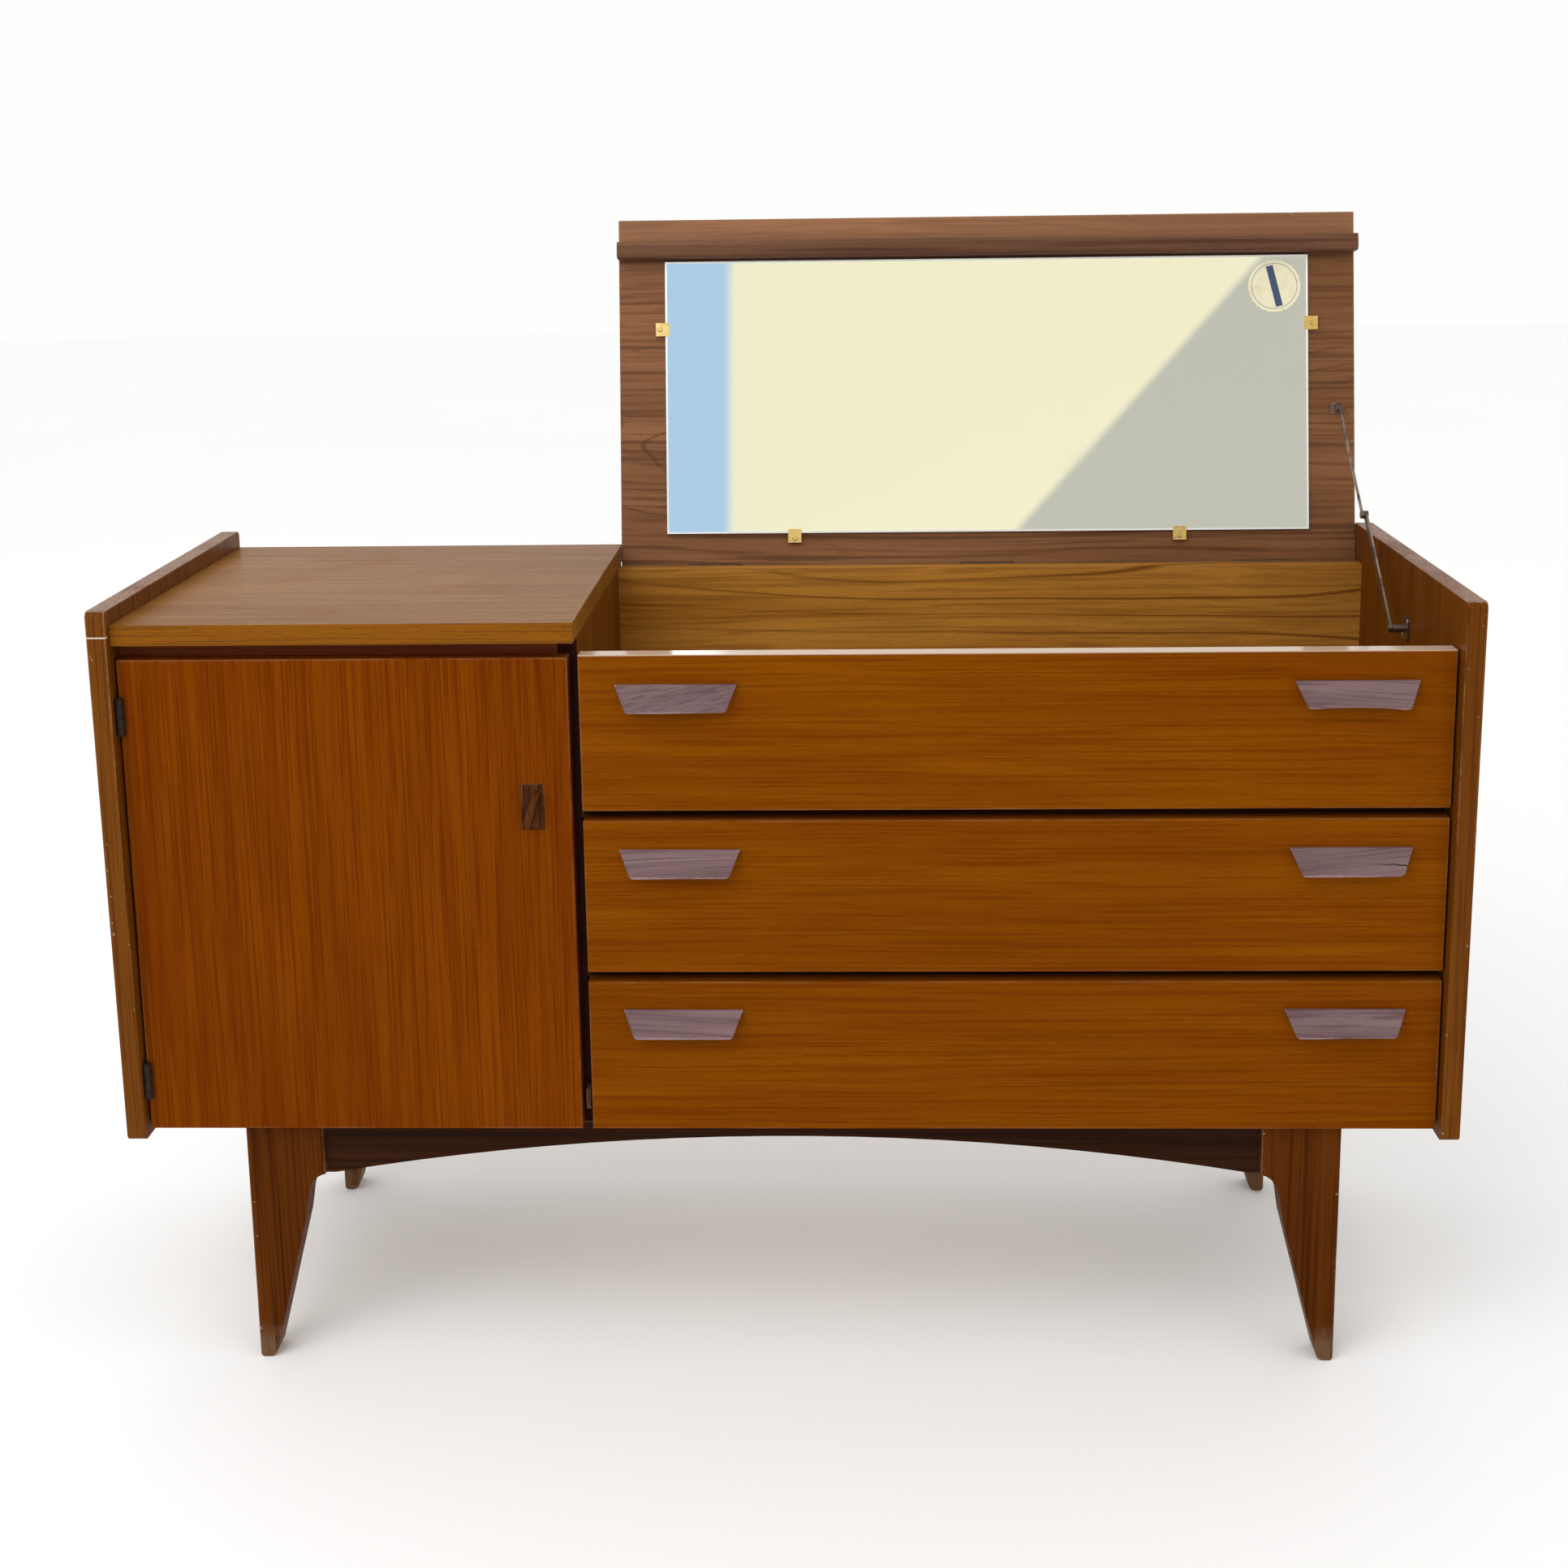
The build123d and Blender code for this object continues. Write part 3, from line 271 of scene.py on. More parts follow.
grainTurn = {"x": (0, 0, 0), "y": (0, 0, radians(90)), "z": (0, radians(90), 0)}
edgeWearing = {"width": 0.0022, "wood": (0.36, 0.19, 0.09), "chip": (0.60, 0.48, 0.34)}
woodGloss = {"lineDull": 0.12, "scuffDull": 0.10, "smoother": 0.08, "relief": 0.00012, "specular": 0.05}
footScuff = {"ragged": 90.0, "share": 0.9, "tone": (0.16, 0.085, 0.045)}
pullSplit = {"up": 0.008, "wander": 0.006, "wanderScale": 60.0, "halfWidth": (0.0003, 0.0009),
             "from": 0.055, "full": 0.010, "tone": (0.02, 0.008, 0.006)}
rimRub = {"rise": 0.0040, "below": 0.0012, "patch": 9.0, "patchRange": (0.36, 0.58), "least": 0.25,
          "most": 0.85}
lidFade = {"from": 1.208, "share": 0.45, "tone": (0.36, 0.17, 0.085)}
sideJoint = {"below": 0.0310, "halfWidth": (0.0004, 0.0011), "reach": (0.004, 0.007),
             "tone": (0.62, 0.52, 0.40)}
# pale painted highlight along the top edge of the well's front, and the roughness of its real gloss coat
wellTopHighlightAndCoat = {"depth": 0.0016, "share": 0.8, "tone": (0.62, 0.45, 0.32), "coatRough": 0.10}

# one entry for each finish: colours, line and band counts per metre, how strong each effect is
woodFinish = {
    "doorVeneer": {"pale": (0.216, 0.049, 0.0008), "middle": (0.172, 0.034, 0.0005),
                   "dark": (0.096, 0.012, 0.0002),
                   "grain": "z", "lines": 430, "bands": 75, "sway": 0.006, "streaks": 0.5, "rough": 0.42,
                   "wear": 0.35, "specular": 0.012},
    "frontVeneer": {"pale": (0.222, 0.060, 0.0010), "middle": (0.192, 0.046, 0.0006),
                    "dark": (0.108, 0.020, 0.0002),
                    "grain": "x", "lines": 430, "bands": 60, "sway": 0.010, "streaks": 0.42, "rough": 0.40,
                    "wear": 0.3, "specular": 0.012},
    "topVeneer": {"pale": (0.268, 0.116, 0.021), "middle": (0.225, 0.090, 0.013),
                  "dark": (0.135, 0.044, 0.004),
                  "grain": "x", "lines": 380, "bands": 24, "sway": 0.006, "streaks": 0.5, "rough": 0.40,
                  "wear": 0.6, "specular": 0.06, "lipping": (0.235, 0.078, 0.0024)},
    "sideVeneer": {"pale": (0.178, 0.056, 0.0040), "middle": (0.145, 0.041, 0.0022),
                   "dark": (0.070, 0.015, 0.0008),
                   "grain": "z", "lines": 300, "bands": 32, "sway": 0.008, "streaks": 0.6, "rough": 0.42,
                   "wear": 0.7, "chips": 0.55, "rim": (0.30, 0.185, 0.125)},
    # the divider's front edge gets painted shade, with some dirt, in the gap beside the door
    "dividerVeneer": {"pale": (0.190, 0.062, 0.0060), "middle": (0.155, 0.045, 0.0030),
                      "dark": (0.060, 0.013, 0.001),
                      "grain": "z", "lines": 300, "bands": 32, "sway": 0.008, "streaks": 0.6, "rough": 0.42,
                      "wear": 0.2, "frontEdge": (0.026, 0.0040, 0.0006)},
    "railVeneer": {"pale": (0.500, 0.225, 0.036), "middle": (0.385, 0.155, 0.020),
                   "dark": (0.120, 0.034, 0.004),
                   "grain": "x", "lines": 240, "bands": 30, "sway": 0.05, "streaks": 0.34, "figure": 0.85,
                   "figureSize": 4.6, "rough": 0.42, "wear": 0.4},
    "lidVeneer": {"pale": (0.285, 0.125, 0.052), "middle": (0.215, 0.088, 0.034),
                  "dark": (0.075, 0.026, 0.010),
                  "grain": "x", "lines": 190, "bands": 30, "sway": 0.03, "streaks": 0.6, "figure": 0.6,
                  "figureSize": 8.0, "rough": 0.42, "wear": 0.5, "chips": 0.3, "specular": 0.12},
    "battenWood": {"pale": (0.235, 0.110, 0.062), "middle": (0.150, 0.066, 0.036),
                   "dark": (0.045, 0.018, 0.010),
                   "grain": "x", "lines": 220, "bands": 30, "sway": 0.01, "streaks": 0.6, "rough": 0.40,
                   "wear": 0.7},
    "legWood": {"pale": (0.125, 0.033, 0.0030), "middle": (0.092, 0.022, 0.0018),
                "dark": (0.038, 0.008, 0.0008),
                "grain": "z", "lines": 220, "bands": 30, "sway": 0.008, "streaks": 0.65, "rough": 0.46,
                "wear": 0.6, "chips": 0.5, "foot": 0.03, "specular": 0.02},
    "apronWood": {"pale": (0.042, 0.012, 0.0024), "middle": (0.030, 0.0075, 0.0015),
                  "dark": (0.012, 0.003, 0.0008),
                  "grain": "x", "lines": 200, "bands": 22, "sway": 0.01, "streaks": 0.6, "rough": 0.5,
                  "wear": 0.3},
    "pullWood": {"pale": (0.225, 0.142, 0.146), "middle": (0.172, 0.104, 0.108),
                 "dark": (0.085, 0.048, 0.050),
                 "grain": "x", "lines": 320, "bands": 70, "sway": 0.03, "streaks": 0.5, "rough": 0.62,
                 "wear": 0.8, "worn": (0.40, 0.29, 0.29)},
    "latchWood": {"pale": (0.130, 0.038, 0.0080), "middle": (0.080, 0.020, 0.0040),
                  "dark": (0.026, 0.005, 0.0012),
                  "grain": "z", "lines": 320, "bands": 60, "sway": 0.004, "streaks": 0.6, "rough": 0.45,
                  "wear": 0.8},
    "darkRecess": {"pale": (0.250, 0.055, 0.0140), "middle": (0.200, 0.040, 0.0100),
                   "dark": (0.085, 0.016, 0.004),
                   "grain": "x", "lines": 200, "bands": 22, "sway": 0.008, "streaks": 0.5, "rough": 0.5,
                   "wear": 0.2},
    "stopWood": {"pale": (0.150, 0.070, 0.030), "middle": (0.110, 0.048, 0.018),
                 "dark": (0.050, 0.018, 0.007),
                 "grain": "z", "lines": 200, "bands": 30, "sway": 0.008, "streaks": 0.5, "rough": 0.55,
                 "wear": 0.5},
    "paleBeech": {"pale": (0.52, 0.34, 0.18), "middle": (0.44, 0.27, 0.13),
                  "dark": (0.28, 0.155, 0.07),
                  "grain": "y", "lines": 240, "bands": 30, "sway": 0.006, "streaks": 0.35, "rough": 0.6,
                  "wear": 0.3},
    "thinPly": {"pale": (0.46, 0.29, 0.15), "middle": (0.37, 0.22, 0.105),
                "dark": (0.22, 0.115, 0.05),
                "grain": "x", "lines": 140, "bands": 12, "sway": 0.05, "streaks": 0.35, "figure": 0.3,
                "figureSize": 4.0, "rough": 0.65, "wear": 0.3},
}

# the bottom board's front edge gets painted shade, where it is set back under the drawers
woodFinish["floorPly"] = dict(woodFinish["thinPly"], frontEdge=(0.026, 0.0040, 0.0006))


def ownBox(corners, leans):
    turned = [upright @ corner if leans else corner for corner in corners]
    low = [min(corner[i] for corner in turned) for i in range(3)]
    high = [max(corner[i] for corner in turned) for i in range(3)]
    return low, high


# one function for each local effect: it is given the colour so far and returns it changed
def scuffFoot(tree, colour, where, at, gloss, height):
    ragged = calc(tree, "MULTIPLY", cloud(tree, where, footScuff["ragged"], 3.0), height)
    foot = spread(tree, calc(tree, "SUBTRACT", at["Z"], ragged), 0.0, height, footScuff["share"], 0.0)
    foot = calc(tree, "MULTIPLY", foot, calc(tree, "SUBTRACT", 1.0, gloss))
    return blendColour(tree, foot, colour, fullColour(footScuff["tone"]))


def splitPull(tree, colour, where, at, low, high, strength):
    # dry split running in from the right end
    noise = cloud(tree, where, pullSplit["wanderScale"], 3.0)
    splitAt = calc(tree, "MULTIPLY_ADD", noise, pullSplit["wander"], low[2] + pullSplit["up"])
    offSplit = calc(tree, "ABSOLUTE", calc(tree, "SUBTRACT", at["Z"], splitAt))
    deepIn = spread(tree, at["X"], high[0] - pullSplit["from"], high[0] - pullSplit["full"], 0.0, strength)
    split = calc(tree, "MULTIPLY", spread(tree, offSplit, *pullSplit["halfWidth"], 1.0, 0.0), deepIn)
    return blendColour(tree, split, colour, fullColour(pullSplit["tone"]))


def wearRim(tree, colour, where, at, gloss, low, high, tone):
    # top edge worn through in patches, on a rim that rises towards the back
    backShare = calc(tree, "DIVIDE", calc(tree, "SUBTRACT", high[1], at["Y"]), high[1] - low[1])
    fall = calc(tree, "MULTIPLY", backShare, rimRub["rise"])
    rimHeight = calc(tree, "SUBTRACT", high[2] - rimRub["below"], fall)
    onRim = spread(tree, calc(tree, "SUBTRACT", at["Z"], rimHeight), 0.0, rimRub["below"] / 2)
    patches = cloud(tree, where, rimRub["patch"], 4.0, 0.6)
    bare = spread(tree, patches, *rimRub["patchRange"], rimRub["least"], rimRub["most"])
    bare = calc(tree, "MULTIPLY", bare, calc(tree, "SUBTRACT", 1.0, gloss))
    return blendColour(tree, calc(tree, "MULTIPLY", onRim, bare), colour, fullColour(tone))


def jointLine(tree, colour, at, low, high):
    # pale joint across the edge strip of a side panel
    offJoint = calc(tree, "ABSOLUTE", calc(tree, "SUBTRACT", at["Z"], high[2] - sideJoint["below"]))
    inStrip = spread(tree, calc(tree, "SUBTRACT", at["Y"], low[1]), *sideJoint["reach"], 1.0, 0.0)
    joint = calc(tree, "MULTIPLY", spread(tree, offJoint, *sideJoint["halfWidth"], 1.0, 0.0), inStrip)
    return blendColour(tree, joint, colour, fullColour(sideJoint["tone"]))


def glossCoatAndPaintedHighlight(tree, shader, colour, at, high):
    # the top edge of the well's front is polished by hands: a glossy coat, and a pale painted highlight
    # blended into its colour
    topEdgeCoatAndHighlight = spread(tree, calc(tree, "SUBTRACT", high[2], at["Z"]), 0.0, wellTopHighlightAndCoat["depth"], 1.0, 0.0)
    tree.links.new(topEdgeCoatAndHighlight, shader.inputs["Coat Weight"])
    shader.inputs["Coat Roughness"].default_value = wellTopHighlightAndCoat["coatRough"]
    # painted highlight: a pale colour blended in along the top edge
    share = calc(tree, "MULTIPLY", topEdgeCoatAndHighlight, wellTopHighlightAndCoat["share"])
    return blendColour(tree, share, colour, fullColour(wellTopHighlightAndCoat["tone"]))


def makeWood(name, finish, corners, seed, leans=False, grain=None, turn=0.0, cracked=0.0):
    look = woodFinish[finish]
    material, tree, shader, where = startMaterial(f"{name}_{finish}")
    if leans:
        where = put(tree, "ShaderNodeMapping", {"Vector": where, "Rotation": (lidLean, 0, 0)}).outputs[0]
    low, high = ownBox(corners, leans)
    shifted = vectorCalc(tree, "ADD", where, (seed * 3.17, seed * 1.73, seed * 2.39))  # own cut of the wood
    aim = Vector(grainTurn[grain or look["grain"]]) + Vector((0, radians(turn), 0))
    along = put(tree, "ShaderNodeMapping", {"Vector": shifted, "Rotation": aim})
    grainOut = useGroup(
        tree, grainGroup, Vector=along.outputs[0], Pale=fullColour(look["pale"]),
        Middle=fullColour(look["middle"]), Dark=fullColour(look["dark"]), Lines=look["lines"],
        Bands=look["bands"], Sway=look["sway"], Streaks=look["streaks"], Figure=look.get("figure", 0.0),
        FigureSize=look.get("figureSize", 5.0))
    gloss = grainOut["Gloss"]
    wear = useGroup(tree, wearGroup, Vector=where, Low=low, High=high, Width=edgeWearing["width"],
                    Amount=look["wear"], ChipAmount=look.get("chips", 0.0))
    worn = fullColour(look.get("worn", edgeWearing["wood"]))
    colour = blendColour(tree, wear["Rub"], grainOut["Color"], worn)
    colour = blendColour(tree, wear["Chips"], colour, fullColour(edgeWearing["chip"]))
    at = put(tree, "ShaderNodeSeparateXYZ", {0: where}).outputs
    if "foot" in look:
        colour = scuffFoot(tree, colour, where, at, gloss, look["foot"])
    if cracked:
        colour = splitPull(tree, colour, where, at, low, high, cracked)
    if "rim" in look:
        colour = wearRim(tree, colour, where, at, gloss, low, high, look["rim"])
    if "frontEdge" in look:  # painted shade on a recessed front edge: the divider's in the gap beside the door (partly dirt too), the bottom board's under the drawers
        edge = spread(tree, calc(tree, "SUBTRACT", at["Y"], low[1]), 0.0008, 0.0014, 1.0, 0.0)
        colour = blendColour(tree, edge, colour, fullColour(look["frontEdge"]))
    if "lipping" in look:  # solid strip along the front edge
        strip = spread(tree, calc(tree, "SUBTRACT", at["Y"], low[1]), 0.0006, 0.0010, 1.0, 0.0)
        lineShare = calc(tree, "MULTIPLY", gloss, 1.5, clamp=True)
        lipped = blendColour(tree, lineShare, fullColour(look["lipping"]), fullColour(look["dark"]))
        colour = blendColour(tree, strip, colour, lipped)
    if name == "lid_panel":  # the strip beyond the batten has faded
        faded = spread(tree, at["Z"], lidFade["from"], lidFade["from"] + 0.002, 0.0, lidFade["share"])
        colour = blendColour(tree, faded, colour, fullColour(lidFade["tone"]))
    if name == "left_side_panel":
        colour = jointLine(tree, colour, at, low, high)
    if name == "well_front":
        colour = glossCoatAndPaintedHighlight(tree, shader, colour, at, high)
    roughness = calc(tree, "ADD", calc(tree, "MULTIPLY", gloss, woodGloss["lineDull"]),
                     calc(tree, "MULTIPLY", wear["Scuff"], woodGloss["scuffDull"]))
    roughness = calc(tree, "ADD", roughness, look["rough"] - woodGloss["smoother"], clamp=True)
    shader.inputs["Specular IOR Level"].default_value = look.get("specular", woodGloss["specular"])
    finishSurface(tree, shader, colour, roughness, grainOut["Height"], woodGloss["relief"])
    return material


# which finish each board of the chest wears, and the boards that lean with the lid
boardFinish = {
    "door_panel": ("doorVeneer", None), "well_front": ("frontVeneer", None),
    "middle_drawer_front": ("frontVeneer", None), "lower_drawer_front": ("frontVeneer", None),
    "top_board": ("topVeneer", None), "left_side_panel": ("sideVeneer", None),
    "right_side_panel": ("sideVeneer", None), "divider_panel": ("dividerVeneer", None),
    "well_back_rail": ("railVeneer", None), "lid_panel": ("lidVeneer", None),
    "lid_batten": ("battenWood", None), "left_front_leg": ("legWood", None),
    "right_front_leg": ("legWood", None), "left_back_leg": ("legWood", None),
    "right_back_leg": ("legWood", None), "front_apron": ("apronWood", None),
    "back_apron": ("apronWood", None), "leg_side_rails": ("apronWood", "y"),
    "latch_lever": ("latchWood", None), "latch_plate": ("latchWood", None),
    "door_head_rail": ("darkRecess", None), "middle_drawer_sides": ("paleBeech", None),
    "lower_drawer_sides": ("paleBeech", None), "middle_drawer_back": ("paleBeech", "x"),
    "lower_drawer_back": ("paleBeech", "x"), "drawer_runners": ("paleBeech", None),
    "drawer_rails": ("apronWood", None), "glue_blocks": ("stopWood", None),
    "lid_rest_cleat": ("paleBeech", "x"), "bottom_board": ("floorPly", None),
    "cupboard_back": ("thinPly", "z"), "drawer_bay_back": ("thinPly", None),
    "cupboard_shelf": ("thinPly", None), "well_floor": ("thinPly", None),
    "middle_drawer_bottom": ("thinPly", None), "lower_drawer_bottom": ("thinPly", None),
}
leaning = {"lid_panel", "lid_batten"}
for seed, (board, (finish, grain)) in enumerate(boardFinish.items()):
    corners = [vertex.co for vertex in nodes[board].data.vertices]
    wood = makeWood(board, finish, corners, seed + 1, board in leaning, grain)
    nodes[board].material_slots[0].material = wood
print("boards finished:", len(boardFinish))


# metals: bright and stained colours, blot count per metre, how rough
metalFinish = {
    "clipBrass": {"bright": (0.86, 0.60, 0.22), "stain": (0.45, 0.26, 0.08), "size": 160, "amount": 0.5,
                  "rough": 0.22, "metallic": 1.0},
    "blackSteel": {"bright": (0.030, 0.020, 0.015), "stain": (0.012, 0.006, 0.004), "size": 200,
                   "amount": 0.7, "rough": 0.55, "metallic": 0.3, "specular": 0.12},
    "staySteel": {"bright": (0.26, 0.20, 0.16), "stain": (0.060, 0.030, 0.018), "size": 60, "amount": 0.75,
                  "rough": 0.30, "metallic": 1.0},
    "lidBronze": {"bright": (0.110, 0.060, 0.032), "stain": (0.040, 0.018, 0.010), "size": 150, "amount": 0.6,
                  "rough": 0.45, "metallic": 0.8},
    "dullSteel": {"bright": (0.42, 0.39, 0.35), "stain": (0.17, 0.10, 0.06), "size": 150, "amount": 0.6,
                  "rough": 0.38, "metallic": 1.0},
}


def makeMetal(finish):
    look = metalFinish[finish]
    material, tree, shader, where = startMaterial(finish)
    metal = useGroup(tree, metalGroup, Vector=where, Bright=fullColour(look["bright"]),
                     Stain=fullColour(look["stain"]), Size=look["size"], Amount=look["amount"])
    roughness = calc(tree, "MULTIPLY_ADD", metal["Dull"], metalShape["dullRough"], look["rough"])
    shader.inputs["Metallic"].default_value = look["metallic"]
    shader.inputs["Specular IOR Level"].default_value = look.get("specular", 0.5)
    finishSurface(tree, shader, metal["Color"], roughness, metal["Height"], metalShape["relief"])
    return material


metals = {finish: makeMetal(finish) for finish in metalFinish}
fittingFinish = {
    "clipBrass": ["mirror_clips"],
    "blackSteel": ["door_hinge_case_leaves", "door_hinge_door_leaves", "door_hinge_pins"],
    "staySteel": ["stay_arm", "stay_rod", "stay_case_bracket", "stay_lid_bracket"],
    "lidBronze": ["lid_hinge_case_leaves", "lid_hinge_lid_leaves", "lid_hinge_pins"],
    "dullSteel": ["latch_spindle",
                  "latch_tongue", "latch_keeper", "shelf_pins", "frame_screws", "well_pull_screws",
                  "middle_pull_screws", "lower_pull_screws"],
}
for finish, fittings in fittingFinish.items():
    for fitting in fittings:
        nodes[fitting].material_slots[0].material = metals[finish]
print("metals finished")


# silvered glass with a bright ground edge and a few smudges
mirrorLook = {"silver": (0.90, 0.91, 0.88), "edge": (0.93, 0.95, 0.93), "edgeWidth": 0.0028,
              "edgeRough": 0.35, "edgeMetal": 0.3, "smudge": 0.05, "smudgeScale": 9.0, "rimRough": 0.1,
              "relief": 0.00003}


def makeMirrorGlass():
    material, tree, shader, where = startMaterial("silveredGlass")
    where = put(tree, "ShaderNodeMapping", {"Vector": where, "Rotation": (lidLean, 0, 0)}).outputs[0]
    low, high = ownBox([vertex.co for vertex in nodes["mirror_glass"].data.vertices], True)
    width = mirrorLook["edgeWidth"]
    rim = useGroup(tree, wearGroup, Vector=where, Low=low, High=high, Width=width, Amount=1.0)
    low[1], high[1] = -1.0, 1.0  # only the glass's outline counts
    fromLow = vectorCalc(tree, "SUBTRACT", where, low)
    nearest = vectorCalc(tree, "MINIMUM", fromLow, vectorCalc(tree, "SUBTRACT", high, where))
    parts = put(tree, "ShaderNodeSeparateXYZ", {0: nearest}).outputs
    edge = spread(tree, calc(tree, "MINIMUM", parts["X"], parts["Z"]), width * 0.6, width, 1.0, 0.0)
    colour = blendColour(tree, edge, fullColour(mirrorLook["silver"]), fullColour(mirrorLook["edge"]))
    smudges = cloud(tree, where, mirrorLook["smudgeScale"], 4.0)
    smudges = spread(tree, smudges, 0.5, 0.75, 0.0, mirrorLook["smudge"])
    roughness = calc(tree, "MULTIPLY_ADD", edge, mirrorLook["edgeRough"], smudges)
    roughness = calc(tree, "MULTIPLY_ADD", rim["Rub"], mirrorLook["rimRough"], roughness)
    metallic = calc(tree, "MULTIPLY_ADD", edge, mirrorLook["edgeMetal"] - 1, 1.0)
    tree.links.new(metallic, shader.inputs["Metallic"])
    finishSurface(tree, shader, colour, roughness, cloud(tree, where, 3.0, 0.0), mirrorLook["relief"])
    return material


nodes["mirror_glass"].material_slots[0].material = makeMirrorGlass()
print("mirror finished")


# helpers for new pieces
def newPiece(name, mesh, material, body, slot, *replaced):
    piece = bpy.data.objects.new(name, mesh)
    bpy.context.scene.collection.objects.link(piece)
    if not mesh.materials:
        mesh.materials.append(material)
    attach(piece, body)
    if replaced:
        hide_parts(*replaced)
    return piece


def solidBoxes(name):
    # low and high corner of each separate solid in a node, turned upright if the lid carries it
    work = bmesh.new()
    work.from_mesh(nodes[name].data)
    bmesh.ops.remove_doubles(work, verts=work.verts, dist=1e-6)
    left, boxes = set(work.verts), []
    while left:
        reached, edge = set(), [left.pop()]
        while edge:
            vertex = edge.pop()
            reached.add(vertex)
            near = {other for link in vertex.link_edges for other in link.verts} & left
            left -= near
            edge.extend(near)
        boxes.append(ownBox([vertex.co for vertex in reached], name in lidNodes))
    work.free()
    return sorted(boxes)


lidNodes = set(frame["record"]["behaviour"]["bodies"]["lid"])


# wedge pulls: each one is worn and cut a little differently
pullShape = {"topWidth": 0.124, "footWidth": 0.103, "topDepth": 0.0035, "undercut": 0.009, "lipDepth": 0.0016,
             "lipRise": 0.0005, "inside": 0.0002, "round": 0.0009, "roundSteps": 3, "sharpest": 30,
             "sections": 24, "cornerShare": 0.10, "cornerRise": 0.0022, "footTurn": 0.0034, "firstSeed": 50}
pullCuts = {  # node, body, side, hollow of the lower edge, its slant, turn of the grain, how cracked
    "wellPullLeft": ("well_pulls", "case", -1, 0.0002, 0.0006, 14, 0.0),
    "wellPullRight": ("well_pulls", "case", 1, 0.0024, -0.0006, -3, 0.0),
    "middlePullLeft": ("middle_drawer_pulls", "middle_drawer", -1, 0.0003, 0.0002, 2, 0.0),
    "middlePullRight": ("middle_drawer_pulls", "middle_drawer", 1, -0.0004, 0.0007, 4, 1.0),
    "lowerPullLeft": ("lower_drawer_pulls", "lower_drawer", -1, -0.0003, 0.0, -2, 0.0),
    "lowerPullRight": ("lower_drawer_pulls", "lower_drawer", 1, 0.0005, 0.0005, 3, 0.3),
}


def makePull(name, node, side, hollow, slant):
    low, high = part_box(node)
    halfTop, halfFoot = pullShape["topWidth"] / 2, pullShape["footWidth"] / 2
    middle = low.x + halfTop if side < 0 else high.x - halfTop
    work = bmesh.new()
    rings = []
    for step in range(pullShape["sections"] + 1):
        t = -cos(pi * step / pullShape["sections"])  # closer sections near the ends
        foot = low.z + max(0.0, hollow * (1 - t * t) + slant * t) + pullShape["inside"]
        past = max(0.0, (abs(t) - 1 + pullShape["cornerShare"]) / pullShape["cornerShare"])
        foot += pullShape["cornerRise"] * past ** 3
        topX, footX = middle + t * halfTop, middle + t * halfFoot
        outline = ((topX, high.y, high.z), (topX, high.y - pullShape["topDepth"], high.z),
                   (footX, low.y + pullShape["inside"], foot),
                   (footX, low.y + pullShape["lipDepth"], foot + pullShape["lipRise"]),
                   (footX + t * pullShape["footTurn"], high.y, foot + pullShape["undercut"]))
        rings.append([work.verts.new(point) for point in outline])
    for near, far in zip(rings, rings[1:]):
        for i in range(len(near)):
            j = (i + 1) % len(near)
            work.faces.new((near[i], near[j], far[j], far[i]))
    work.faces.new(rings[0])
    work.faces.new(list(reversed(rings[-1])))
    bmesh.ops.recalc_face_normals(work, faces=work.faces)
    mesh = bpy.data.meshes.new(name)
    work.to_mesh(mesh)
    work.free()
    return mesh


for seed, (name, (node, body, side, hollow, slant, turn, cracked)) in enumerate(pullCuts.items()):
    mesh = makePull(name, node, side, hollow, slant)
    corners = [vertex.co for vertex in mesh.vertices]
    wood = makeWood(name, "pullWood", corners, pullShape["firstSeed"] + seed, turn=turn, cracked=cracked)
    piece = newPiece(name, mesh, wood, body, "pull_wood", node)
    bevel = piece.modifiers.new("softEdges", "BEVEL")
    bevel.width = pullShape["round"]
    bevel.segments = pullShape["roundSteps"]
    bevel.limit_method = "ANGLE"
    bevel.angle_limit = radians(pullShape["sharpest"])
print("pulls made")


# screw heads with a cross recess, one tree for every place they are used
headShape = {"sides": 20, "topShare": 0.72, "recessLength": 1.15, "recessDepth": 1.1, "slotShare": 0.24,
             "seed": 3}


